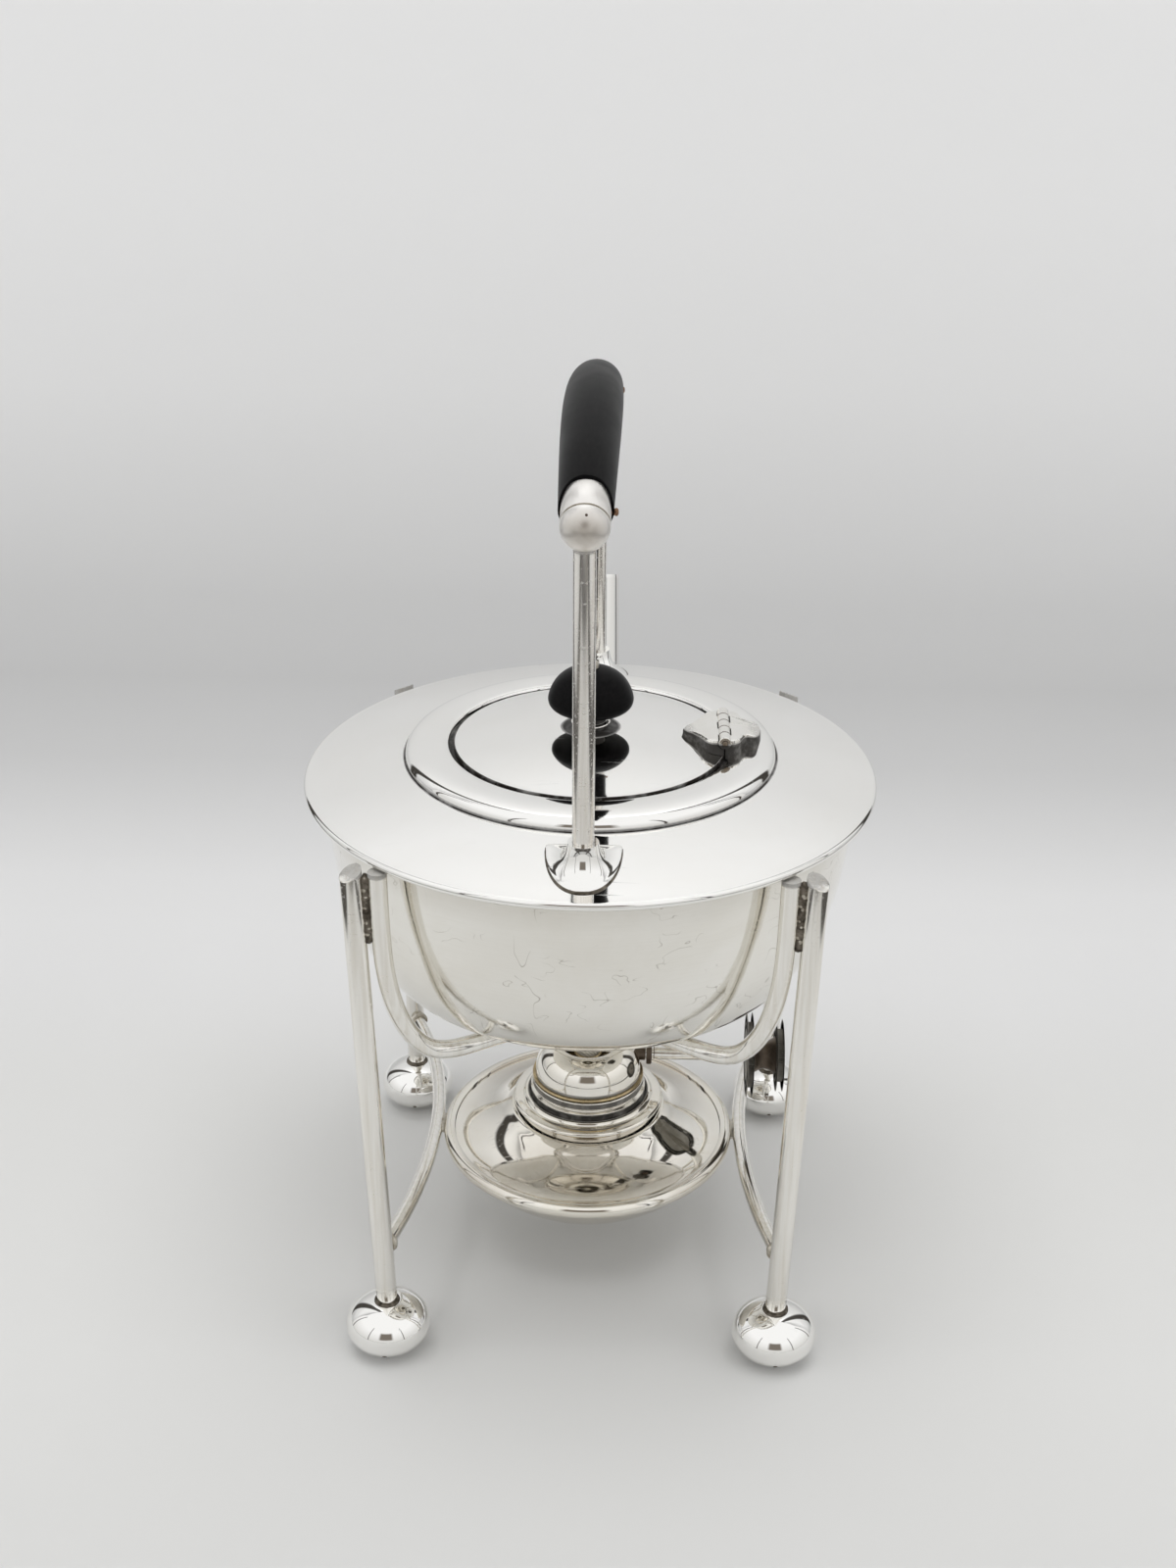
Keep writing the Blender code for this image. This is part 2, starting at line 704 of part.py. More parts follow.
def make_winder():
    along_x = (0, math.radians(90), 0)
    spindle_start = -sprocket_width
    spindle_end = disc_outer_at + disc_outer_width
    length = spindle_end - spindle_start
    shoulder = bush_start - spindle_start
    turned("winder_spindle", [(0, length), (spindle_radius, length), (spindle_radius, shoulder),
                              (spindle_inner_radius, shoulder - spindle_radius),
                              (spindle_inner_radius, 0), (0, 0)], pipe_round, dark_brass, winder,
           (spindle_start, winder_along, winder_height), along_x)
    make_toothed_wheel("winder_sprocket", -sprocket_width / 2, sprocket_width, sprocket_radius,
                       sprocket_radius - sprocket_root_radius, sprocket_teeth, brass)
    make_toothed_wheel("winder_disc_inner", disc_inner_at, disc_inner_width, disc_inner_radius,
                       milling_depth, milling_inner_teeth, dark_brass)
    make_toothed_wheel("winder_disc_outer", disc_outer_at, disc_outer_width, disc_outer_radius,
                       milling_depth, milling_outer_teeth, dark_brass)
    bore = spindle_radius + seat_gap
    waist_shares = (1.0, 0.35, 0.0, 0.35, 1.0)
    outline = [(bore, hub_length)]
    for step, share in enumerate(waist_shares):
        outline.append((hub_waist_radius + (hub_radius - hub_waist_radius) * share,
                        hub_length * (1 - step / (len(waist_shares) - 1))))
    outline.append((bore, 0))
    turned("winder_hub", outline, small_round, dark_brass, winder,
           (hub_start, winder_along, winder_height), along_x, closed=True)
    turned("wick", [(0, wick_top - wick_foot), (wick_radius, wick_top - wick_foot),
                    (wick_radius, 0), (0, 0)], small_round, cotton, wick_slide, (0, 0, wick_foot))


# Kettle body

def bowl_outline(grow, steps):
    # The bowl's side from its top edge down to its flat base, moved out by grow.
    points = []
    for step in range(steps + 1):
        angle = math.radians(90) * (1 - step / steps)
        points.append((bowl_flat_radius + (bowl_radius - bowl_flat_radius) * math.sin(angle) + grow * math.sin(angle),
                       bowl_top - bowl_depth * math.cos(angle) - grow * math.cos(angle)))
    return points


def spout_path():
    points = []
    for reach, rise in zip(spout_reach_shares, spout_rise_shares):
        points.append(Vector((0, spout_root_along + spout_reach * reach,
                              spout_root_height + spout_rise * rise)))
    return smooth_path(points, 2)


def make_spout():
    path = spout_path()
    last = len(path) - 1
    fall = spout_root_radius - spout_tip_radius
    outer = [spout_root_radius - fall * index / last for index in range(last + 1)]
    inner = [radius - spout_wall for radius in outer]
    spout = hollow_tube("spout", path, outer, inner, 14, bright_silver, kettle)
    thin = spout_root_radius - spout_wall
    bore = pipe("spout_bore_cut", path, thin, 5, None, kettle,
                radii=[radius / thin for radius in inner], cutter=True)
    clearance = turned("bowl_clearance_cut", [(0, bowl_top + cut_overrun), (bowl_radius + seat_gap, bowl_top + cut_overrun)]
                       + bowl_outline(seat_gap, 10) + [(0, bowl_base - seat_gap)],
                       fine_round, None, kettle, cutter=True)
    cut(spout, clearance)
    return bore


def make_bowl(spout_bore):
    outside = bowl_outline(0, 9)
    inside = bowl_outline(-bowl_wall, 5)
    bowl = turned("kettle_bowl", [(0, bowl_base + bowl_wall)] + inside[::-1] + outside
                  + [(0, bowl_base)], fine_round, brushed_silver, kettle)
    cut(bowl, spout_bore)


def make_shoulder():
    # The domed plate with its rolled edge, open in the middle under the lid.
    steps = 4
    rim = shoulder_radius - shoulder_bead_radius
    top_side = []
    for step in range(steps + 1):
        radius = mouth_radius + (bowl_radius - mouth_radius) * step / steps
        top_side.append((radius, shoulder_surface(radius)))
    bead_middle = (rim, shoulder_surface(rim) - shoulder_bead_radius)
    bead = arc(bead_middle, shoulder_bead_radius, 60, -90, 5)
    under_side = [(radius, height - shoulder_wall) for radius, height in top_side[::-1]]
    bead_inner = (rim - shoulder_bead_radius * 1.2, bead_middle[1] - shoulder_bead_radius * 0.6)
    turned("shoulder_plate", top_side + bead + [bead_inner] + under_side, fine_round, bright_silver,
           kettle, closed=True)


def moulding_outline(grow):
    base = shoulder_surface(moulding_radius)
    width = moulding_radius - moulding_inner_radius
    outer_shares = (0.0, 0.06, 0.22, 0.45, 0.62, 0.80, 0.93, 0.985, 1.0)
    height_shares = (0.80, 0.90, 0.985, 1.0, 0.96, 0.82, 0.55, 0.28, 0.0)
    points = []
    for outer_share, height_share in zip(outer_shares, height_shares):
        points.append((moulding_inner_radius + width * outer_share + grow * (2 * outer_share - 1),
                       base + seat_gap + (moulding_height - seat_gap) * height_share + grow))
    return points


def make_moulding():
    upper = moulding_outline(0)
    under = []
    for share in (1.0, 0.5, 0.0):
        radius = moulding_inner_radius + (moulding_radius - moulding_inner_radius) * share
        under.append((radius, shoulder_surface(radius) + seat_gap))
    turned("lid_moulding", upper[:-1] + under, fine_round, bright_silver, kettle, closed=True)


# Handle

def make_post_foot(name, end):
    # A trumpet shaped foot, sheared so that its base follows the shoulder's slope.
    bore = post_radius + seat_gap
    radius_shares = (0.0, 0.04, 0.14, 0.34, 0.66, 0.95, 1.0)
    height_shares = (1.0, 0.80, 0.55, 0.30, 0.14, 0.08, 0.0)
    outline = [(bore, post_foot_height)]
    for radius_share, height_share in zip(radius_shares, height_shares):
        outline.append((post_foot_neck_radius + (post_foot_radius - post_foot_neck_radius) * radius_share,
                        post_foot_height * height_share))
    outline.append((bore, 0))
    base = shoulder_surface(handle_reach) + seat_gap
    foot = turned(name, outline, small_round, bright_silver, kettle,
                  (0, end * handle_reach, base), closed=True)
    bpy.context.view_layer.update()
    shown = foot.evaluated_get(bpy.context.evaluated_depsgraph_get())
    mesh = bpy.data.meshes.new_from_object(shown)
    slope = 2 * shoulder_crown * handle_reach / shoulder_radius ** 2
    for point in mesh.vertices:
        level = 1 - point.co.z / post_foot_height
        point.co.z -= slope * end * point.co.y * level
    foot.modifiers.clear()
    foot.data = mesh
    mesh.shade_smooth()
    mesh.set_sharp_from_angle(angle=math.radians(40))


def make_handle_end(name_end, end):
    make_post_foot("post_foot_" + name_end, end)
    post_low = shoulder_surface(handle_reach - post_radius) + seat_gap
    post_high = handle_axis + post_radius / 2
    rod("handle_post_" + name_end, (0, end * handle_reach, post_low),
        (0, end * handle_reach, post_high), post_radius, small_round, bright_silver, kettle)
    slope = math.atan2(2 * arch_rise, handle_reach)
    turn = (end * (math.radians(90) - slope), 0, 0)
    place = (0, end * handle_reach, handle_axis)
    barrel_end = ferrule_length + cut_overrun
    tip = ferrule_radius + ferrule_tip
    nose = arc((0, 0), ferrule_radius, 0, -80, 6)
    ferrule = turned("ferrule_" + name_end, [(0, barrel_end), (ferrule_radius, barrel_end)] + nose
                     + [(ferrule_tip, -tip), (0, -tip)], small_round, bright_silver, kettle,
                     place, turn)
    scallop = scallop_cutter("ferrule_end_cut_" + name_end, end, 0)
    combine(ferrule, scallop, "INTERSECT")
    inward = Vector((0, -end * math.cos(slope), math.sin(slope)))
    root = Vector(place) + inward * (ferrule_length - scallop_depth / 2)
    tenon = rod("tenon_join_" + name_end, root, Vector(place) + inward * (ferrule_length + tenon_length),
                tenon_radius, pipe_round, None, kettle, cutter=True)
    combine(ferrule, tenon, "UNION")
    socket = rod("post_socket_cut_" + name_end,
                 (0, end * handle_reach, handle_axis - ferrule_radius - cut_overrun),
                 (0, end * handle_reach, post_high + seat_gap), post_radius + seat_gap,
                 small_round, None, kettle, cutter=True)
    cut(ferrule, socket)
    return ferrule, inward, place


def scallop_cutter(name, end, grow):
    # An upright oval that shapes the joint between a ferrule and the grip.
    rounds = 32
    middle = handle_reach - ferrule_length + scallop_depth
    outline = []
    for step in range(rounds):
        angle = 2 * math.pi * step / rounds
        outline.append(((scallop_half_width + grow) * math.cos(angle),
                        end * middle + (scallop_depth + grow) * math.sin(angle)))
    return plate(name, outline, handle_axis - ferrule_radius * 2, handle_axis + ferrule_radius * 2,
                 None, kettle, cutter=True)


def make_grip_pin(name, end):
    # A rivet through grip and ferrule, flush on the left and proud on the right.
    left = -grip_end_radius + seat_gap
    right = grip_end_radius + grip_pin_proud
    height = arch_height(grip_pin_along) - grip_pin_drop
    rod(name, (left, end * grip_pin_along, height), (right, end * grip_pin_along, height),
        grip_pin_radius, tiny_round, copper, kettle)
    return rod(name + "_hole_cut", (left - cut_overrun, end * grip_pin_along, height),
               (right + cut_overrun, end * grip_pin_along, height), grip_pin_radius + seat_gap,
               tiny_round, None, kettle, cutter=True)


def make_handle():
    steps = 22
    path = []
    radii = []
    for step in range(steps + 1):
        share = 2 * step / steps - 1
        along = grip_half_length * share
        path.append(Vector((0, along, arch_height(along))))
        swell = math.cos(math.radians(90) * share)
        radii.append((grip_end_radius + (grip_mid_radius - grip_end_radius) * swell) / grip_mid_radius)
    grip = pipe("handle_grip", path, grip_mid_radius, 4, ebonised, kettle, radii=radii)
    for name_end, end in (("front", -1), ("rear", 1)):
        ferrule, inward, place = make_handle_end(name_end, end)
        cut(grip, scallop_cutter("grip_end_cut_" + name_end, end, seat_gap))
        bore = rod("tenon_bore_cut_" + name_end, Vector(place),
                   Vector(place) + inward * (ferrule_length + tenon_length + seat_gap),
                   tenon_radius + seat_gap, pipe_round, None, kettle, cutter=True)
        cut(grip, bore)
        hole = make_grip_pin("grip_pin_" + name_end, end)
        cut(grip, hole)
        cut(ferrule, hole)


# Lid and hinge

def make_lid():
    # A shallow dome with a skirt that locates it in the mouth, and the stud's hole.
    bore = stud_radius + seat_gap
    steps = 5
    top_side = []
    for step in range(steps + 1):
        radius = bore + (lid_radius - bore) * step / steps
        top_side.append((radius, lid_surface(radius)))
    under_edge = lid_skirt_radius
    outline = top_side + [(lid_radius, lid_seat), (under_edge, lid_seat),
                          (under_edge, lid_seat - lid_skirt_depth),
                          (under_edge - lid_wall, lid_seat - lid_skirt_depth)]
    for step in range(3, -1, -1):
        radius = bore + (under_edge - lid_wall - bore) * step / 3
        outline.append((radius, lid_surface(radius) - lid_wall))
    turned("lid", outline, fine_round, bright_silver, lid_axis, closed=True)


def make_knob():
    bore = stud_radius + seat_gap
    bead = arc((collar_bead_radius - collar_bead_height / 2, knob_collar_base + collar_bead_height / 2),
               collar_bead_height / 2, 90, -90, 6)
    turned("knob_collar", [(bore, knob_collar_base + collar_bead_height)] + bead
           + [(bore, knob_collar_base)], small_round, bright_silver, lid_axis, closed=True)
    seat = nut_radius + seat_gap
    radius_shares = (0.34, 0.62, 0.83, 0.96, 1.0, 0.965, 0.86, 0.70)
    height_shares = (0.965, 0.86, 0.67, 0.44, 0.27, 0.15, 0.065, 0.015)
    outline = [(bore, knob_top), (seat, knob_top)]
    for radius_share, height_share in zip(radius_shares, height_shares):
        outline.append((knob_radius * radius_share, knob_base + knob_height * height_share))
    outline += [(knob_stem_radius, knob_base), (bore, knob_base)]
    turned("lid_knob", outline, middle_round, ebonised, lid_axis, closed=True)
    stud_shoulder = lid_surface(0) - lid_wall - seat_gap
    stud_top = knob_top + nut_height / 2
    turned("knob_stud", [(0, stud_top), (stud_radius, stud_top), (stud_radius, stud_shoulder),
                         (stud_head_radius, stud_shoulder),
                         (stud_head_radius, stud_shoulder - stud_head_height),
                         (0, stud_shoulder - stud_head_height)], tiny_round, bright_silver, lid_axis)
    nut_base = knob_top + seat_gap
    turned("knob_nut", [(0, nut_base + nut_height), (nut_radius * 0.6, nut_base + nut_height * 0.85),
                        (nut_radius, nut_base + nut_height * 0.4), (nut_radius, nut_base),
                        (bore, nut_base), (bore, stud_top + seat_gap), (0, stud_top + seat_gap)],
           tiny_round, bright_silver, lid_axis)


def leaf_outline(side, reach, share_pairs):
    # Half the leaf's edge as (reach share, width share) pairs, mirrored along its middle.
    upper = [(hinge_across + side * reach * out, leaf_half_width * wide) for out, wide in share_pairs]
    lower = [(across, -along) for across, along in upper[::-1] if along > 0]
    return upper + lower


def make_leaf(name, side, reach, share_pairs, own, others, under, parent):
    # A leaf with its knuckles; it is cut to sit on what is under it and to clear the other leaf.
    first = seat_gap / 2 / reach
    leaf = plate(name, leaf_outline(side, reach, [(first, 1.0)] + share_pairs),
                 lid_seat, leaf_top, bright_silver, parent)
    pitch = hinge_length / hinge_knuckles
    for index in own:
        low = -hinge_length / 2 + index * pitch + seat_gap / 2
        knuckle = rod(name + "_knuckle_join", (hinge_across, low, hinge_height),
                      (hinge_across, low + pitch - seat_gap, hinge_height), knuckle_radius,
                      pipe_round, None, parent, cutter=True)
        combine(leaf, knuckle, "UNION")
    for index in others:
        low = -hinge_length / 2 + index * pitch - seat_gap / 2
        room = rod(name + "_knuckle_cut", (hinge_across, low, hinge_height),
                   (hinge_across, low + pitch + seat_gap, hinge_height),
                   knuckle_radius + seat_gap, pipe_round, None, parent, cutter=True)
        cut(leaf, room)
    for cutter in under:
        cut(leaf, cutter)
    reach_out = hinge_length / 2 + cut_overrun
    bore = rod(name + "_bore_cut", (hinge_across, -reach_out, hinge_height),
               (hinge_across, reach_out, hinge_height), hinge_pin_radius + hinge_pin_play,
               tiny_round, None, parent, cutter=True)
    cut(leaf, bore)


def make_hinge():
    steps = 6
    dome = [(0, lid_surface(0) + seat_gap)]
    for step in range(1, steps + 1):
        radius = lid_radius * step / steps
        dome.append((radius, lid_surface(radius) + seat_gap))
    dome += [(lid_radius + seat_gap, lid_edge_top), (lid_radius + seat_gap, lid_seat - lid_skirt_depth),
             (0, lid_seat - lid_skirt_depth)]
    lid_room = turned("lid_clearance_cut", dome, fine_round, None, lid_axis, cutter=True)
    ring = moulding_outline(seat_gap)
    low = lid_seat - lid_skirt_depth
    ring_room = turned("moulding_clearance_cut", ring + [(ring[-1][0], low), (ring[0][0], low)],
                       fine_round, None, kettle, closed=True, cutter=True)
    lid_room_fixed = turned("lid_edge_clearance_cut", dome, fine_round, None, kettle, cutter=True)
    ogee = [(0.30, 1.0), (0.42, 0.90), (0.56, 0.62), (0.74, 0.34), (0.90, 0.18), (1.0, 0.0)]
    lobed = [(0.26, 1.0), (0.40, 0.86), (0.50, 0.60), (0.62, 0.50), (0.80, 0.52), (0.93, 0.36), (1.0, 0.0)]
    body_knuckles = list(range(0, hinge_knuckles, 2))
    lid_knuckles = list(range(1, hinge_knuckles, 2))
    make_leaf("hinge_leaf_lid", -1, leaf_lid_reach, ogee, lid_knuckles, body_knuckles,
              [lid_room], lid_axis)
    make_leaf("hinge_leaf_body", 1, leaf_body_reach, lobed, body_knuckles, lid_knuckles,
              [ring_room, lid_room_fixed], kettle)
    half = hinge_length / 2 + knuckle_radius / 4
    rod("hinge_pin", (hinge_across, -half, hinge_height), (hinge_across, half, hinge_height),
        hinge_pin_radius, tiny_round, bright_silver, kettle)


# Build

clear_scene()
parts = new_collection("spirit_kettle_on_stand")
cutters = new_collection("spirit_kettle_cutters")

bright_silver = finish("bright_silver", (0.86, 0.86, 0.85), 1.0, 0.08)
brushed_silver = finish("brushed_silver", (0.78, 0.78, 0.76), 1.0, 0.25)
brass = finish("brass", (0.66, 0.50, 0.24), 1.0, 0.25)
dark_brass = finish("dark_brass", (0.16, 0.12, 0.09), 1.0, 0.30)
copper = finish("copper", (0.45, 0.27, 0.18), 1.0, 0.35)
ebonised = finish("ebonised_wood", (0.012, 0.011, 0.011), 0.0, 0.38)
cotton = finish("cotton", (0.82, 0.78, 0.68), 0.0, 0.95)

root = guide("kettle_and_stand", (0, 0, 0))
stand = guide("stand", (0, 0, 0), root)
lamp = guide("lamp", (0, 0, 0), root)
burner_lift = guide("burner_lift", (0, 0, 0), lamp)
burner = guide("burner_turn", (0, 0, 0), burner_lift)
winder = guide("winder_axis", (0, winder_along, winder_height), burner)
wick_slide = guide("wick_slide", (0, 0, 0), burner)
kettle = guide("kettle", (0, 0, 0), root)
lid_axis = guide("lid_axis", (hinge_across, 0, hinge_height), kettle)

make_stand()
make_reservoir()
make_lamp_top()
make_lamp_collar()
make_burner_ring()
make_burner()
make_winder()
make_bowl(make_spout())
make_shoulder()
make_moulding()
make_handle()
make_lid()
make_knob()
make_hinge()

# The spout reaches out past the round body, so the whole object moves back to
# bring the middle of its outer box over the origin.
bpy.context.view_layer.update()
graph = bpy.context.evaluated_depsgraph_get()
spout_shape = bpy.data.objects["spout"].evaluated_get(graph)
spout_front = max(point.co.y for point in spout_shape.data.vertices)
root.location.y = -(spout_front - shoulder_radius) / 2
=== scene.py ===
import math

import bpy
from mathutils import Matrix, Vector


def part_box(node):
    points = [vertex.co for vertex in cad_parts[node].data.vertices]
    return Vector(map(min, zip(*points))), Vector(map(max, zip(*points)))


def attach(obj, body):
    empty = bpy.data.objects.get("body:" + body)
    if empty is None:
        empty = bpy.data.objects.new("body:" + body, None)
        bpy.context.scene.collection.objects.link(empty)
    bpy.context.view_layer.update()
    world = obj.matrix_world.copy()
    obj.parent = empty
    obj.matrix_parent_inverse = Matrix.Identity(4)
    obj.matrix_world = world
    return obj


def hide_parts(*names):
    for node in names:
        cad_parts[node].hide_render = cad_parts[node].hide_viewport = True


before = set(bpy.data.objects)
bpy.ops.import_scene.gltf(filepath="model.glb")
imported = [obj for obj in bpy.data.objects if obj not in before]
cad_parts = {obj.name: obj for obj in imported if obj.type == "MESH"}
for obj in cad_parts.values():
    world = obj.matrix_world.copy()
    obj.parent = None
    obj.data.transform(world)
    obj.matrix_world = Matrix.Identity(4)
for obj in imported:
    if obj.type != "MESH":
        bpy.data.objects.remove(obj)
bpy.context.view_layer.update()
mm = 0.001
quarterTurn = math.pi / 2
print("frame loaded:", len(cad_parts), "nodes")

# the kettle's own axis stands a little in front of the origin
mouldingLow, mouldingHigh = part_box("lid_moulding")
kettleY = (mouldingLow.y + mouldingHigh.y) / 2 / mm
kettleAxis = (0, kettleY, 0)
ends = (("Front", -1), ("Rear", 1))
sides = (("Left", -1), ("Right", 1))


def deselect():
    if bpy.context.object and bpy.context.object.mode != "OBJECT":
        bpy.ops.object.mode_set(mode="OBJECT")
    bpy.ops.object.select_all(action="DESELECT")


def pick(piece):
    deselect()
    piece.select_set(True)
    bpy.context.view_layer.objects.active = piece
    return piece


def applyPlace(piece):
    pick(piece)
    bpy.ops.object.transform_apply(location=True, rotation=True, scale=True)
    return piece


def smoothPoints(points, steps):
    # a rounded line through given points, of any number of dimensions
    knots = [[2 * a - b for a, b in zip(points[0], points[1])]] + [list(p) for p in points]
    knots.append([2 * a - b for a, b in zip(points[-1], points[-2])])
    line = []
    for index in range(len(points) - 1):
        p0, p1, p2, p3 = knots[index:index + 4]
        for step in range(steps):
            t = step / steps
            line.append([0.5 * (2 * b + (c - a) * t + (2 * a - 5 * b + 4 * c - d) * t * t
                                + (3 * b - a - 3 * c + d) * t ** 3)
                         for a, b, c, d in zip(p0, p1, p2, p3)])
    line.append(list(points[-1]))
    return line


def arcPoints(centre, radius, start, stop, steps):
    # start and stop in degrees, 0 points outwards and 90 points up
    points = []
    for step in range(steps + 1):
        angle = math.radians(start + (stop - start) * step / steps)
        points.append((centre[0] + radius * math.cos(angle), centre[1] + radius * math.sin(angle)))
    return points


def startEdit():
    bpy.ops.object.mode_set(mode="EDIT")
    bpy.ops.mesh.select_all(action="SELECT")


def finishEdit():
    # turns all faces outwards and leaves edit mode
    bpy.ops.mesh.select_all(action="SELECT")
    bpy.ops.mesh.normals_make_consistent(inside=False)
    bpy.ops.object.mode_set(mode="OBJECT")


def weld():
    bpy.ops.mesh.select_all(action="SELECT")
    bpy.ops.mesh.remove_doubles(threshold=0.002 * mm)


def drawLine(name, points):
    # a line of edges drawn vertex by vertex, left in edit mode with all of it selected
    deselect()
    bpy.ops.mesh.primitive_plane_add(size=mm, location=(0, 0, 0))
    piece = bpy.context.object
    piece.name = name
    startEdit()
    bpy.ops.mesh.merge(type="CENTER")
    bpy.ops.transform.translate(value=points[0])
    for before, after in zip(points, points[1:]):
        bpy.ops.mesh.extrude_vertices_move(TRANSFORM_OT_translate={"value": after - before})
    bpy.ops.mesh.select_all(action="SELECT")
    return piece


def spinProfile(name, profile, steps=144, closed=False):
    # the profile is (radius, height) in mm, spun about Z
    points = [Vector((r * mm, 0, z * mm)) for r, z in profile]
    if closed:
        points.append(points[0])
    piece = drawLine(name, points)
    weld()
    bpy.ops.mesh.spin(steps=steps, angle=2 * math.pi, center=(0, 0, 0), axis=(0, 0, 1))
    weld()
    finishEdit()
    return piece


def addRod(name, start, end, radius, endRadius=None, vertices=48):
    # a round bar between two points in mm
    deselect()
    start = Vector(start) * mm
    end = Vector(end) * mm
    lean = end - start
    bpy.ops.mesh.primitive_cone_add(vertices=vertices, radius1=radius * mm,
                                    radius2=(radius if endRadius is None else endRadius) * mm,
                                    depth=lean.length, location=(start + end) / 2,
                                    rotation=lean.to_track_quat("Z", "Y").to_euler())
    piece = bpy.context.object
    piece.name = name
    return applyPlace(piece)


def sweepBar(name, route, radius, radii=None, roundness=8, resolution=10):
    # a curve bevelled to a round bar, route in mm and radii as shares of the radius
    deselect()
    bpy.ops.curve.primitive_bezier_curve_add(location=(0, 0, 0))
    curve = bpy.context.object
    curve.name = name
    data = curve.data
    data.dimensions = "3D"
    spline = data.splines[0]
    spline.bezier_points.add(len(route) - len(spline.bezier_points))
    for index, point in enumerate(route):
        knot = spline.bezier_points[index]
        knot.handle_left_type = "AUTO"
        knot.handle_right_type = "AUTO"
        knot.co = Vector(point) * mm
        knot.radius = radii[index] if radii else 1
    spline.resolution_u = resolution
    data.bevel_depth = radius * mm
    data.bevel_resolution = roundness
    data.use_fill_caps = True
    pick(curve)
    bpy.ops.object.convert(target="MESH")
    piece = bpy.context.object
    startEdit()
    weld()
    finishEdit()
    return piece


def carve(piece, tool, operation="DIFFERENCE"):
    pick(piece)
    step = piece.modifiers.new("Carve", "BOOLEAN")
    step.operation = operation
    step.object = tool
    step.solver = "EXACT"
    bpy.ops.object.modifier_apply(modifier=step.name)
    bpy.data.objects.remove(tool, do_unlink=True)
    return piece


def softenEdges(piece, width, segments=3, angle=35):
    pick(piece)
    step = piece.modifiers.new("Soften", "BEVEL")
    step.width = width * mm
    step.segments = segments
    step.limit_method = "ANGLE"
    step.angle_limit = math.radians(angle)
    step.harden_normals = False
    bpy.ops.object.modifier_apply(modifier=step.name)
    return piece


def movePiece(piece, x, y, z, turn=(0, 0, 0)):
    piece.location = Vector((x, y, z)) * mm
    piece.rotation_euler = turn
    return applyPlace(piece)


def joinPieces(first, others):
    pick(first)
    for other in others:
        other.select_set(True)
    bpy.ops.object.join()
    return first


def dress(piece, name, material, body, nodes=(), smoothAngle=32):
    # last step of every piece: shading, material, and the body that it moves with
    applyPlace(piece)
    piece.name = name
    piece.data.name = name
    bpy.ops.object.shade_smooth_by_angle(angle=math.radians(smoothAngle))
    piece.data.materials.clear()
    piece.data.materials.append(material)
    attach(piece, body)
    if nodes:
        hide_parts(*nodes)
    return piece


def turnedPiece(name, node, profile, steps, closed, material, body,
                smoothAngle=32, soft=None):
    # a piece spun about the kettle's own axis; soft is a bevel's width and segments
    piece = spinProfile(name, profile, steps, closed)
    if soft:
        softenEdges(piece, soft[0], soft[1], 40)
    movePiece(piece, 0, kettleY, 0)
    return dress(piece, name, material, body, [node], smoothAngle)


def newGroup(name, **inputs):
    # a shader group that takes a vector and named numbers and puts out one mask
    group = bpy.data.node_groups.new(name, "ShaderNodeTree")
    group.interface.new_socket(name="Vector", in_out="INPUT", socket_type="NodeSocketVector")
    for label, value in inputs.items():
        socket = group.interface.new_socket(name=label, in_out="INPUT", socket_type="NodeSocketFloat")
        socket.default_value = value
    group.interface.new_socket(name="Mask", in_out="OUTPUT", socket_type="NodeSocketFloat")
    start = group.nodes.new("NodeGroupInput")
    end = group.nodes.new("NodeGroupOutput")
    return group, start, end


def addNode(tree, kind, **settings):
    node = tree.nodes.new(kind)
    for label, value in settings.items():
        if label in node.inputs:
            node.inputs[label].default_value = value
        else:
            setattr(node, label, value)
    return node


def mathNode(tree, operation, first, second=None):
    node = tree.nodes.new("ShaderNodeMath")
    node.operation = operation
    for index, value in enumerate((first, second)):
        if value is None:
            continue
        if isinstance(value, (int, float)):
            node.inputs[index].default_value = value
        else:
            tree.links.new(value, node.inputs[index])
    return node.outputs[0]


def mapRange(tree, value, fromLow, fromHigh, toLow, toHigh):
    node = tree.nodes.new("ShaderNodeMapRange")
    for label, number in (("From Min", fromLow), ("From Max", fromHigh),
                          ("To Min", toLow), ("To Max", toHigh)):
        node.inputs[label].default_value = number
    tree.links.new(value, node.inputs["Value"])
    return node.outputs["Result"]


def hairlineGroup():
    # fine random scratches in three directions, a mask from 0 to 1
    group, start, end = newGroup("hairlineScratches", Scale=60.0, Threshold=0.66)
    total = None
    for turn, stretch in ((0.35, 26.0), (1.9, 34.0), (2.75, 22.0)):
        place = addNode(group, "ShaderNodeMapping", Rotation=(0.3 * turn, 0.15, turn),
                        Scale=(1.0, stretch, stretch * 0.5), Location=(turn, turn * 2, 0))
        group.links.new(start.outputs["Vector"], place.inputs["Vector"])
        noise = addNode(group, "ShaderNodeTexNoise", Detail=1.5, Roughness=0.45)
        group.links.new(place.outputs["Vector"], noise.inputs["Vector"])
        group.links.new(start.outputs["Scale"], noise.inputs["Scale"])
        above = mathNode(group, "SUBTRACT", noise.outputs["Fac"], start.outputs["Threshold"])
        line = mapRange(group, above, 0.0, 0.03, 0.0, 1.0)
        total = line if total is None else mathNode(group, "MAXIMUM", total, line)
    group.links.new(total, end.inputs["Mask"])
    return group


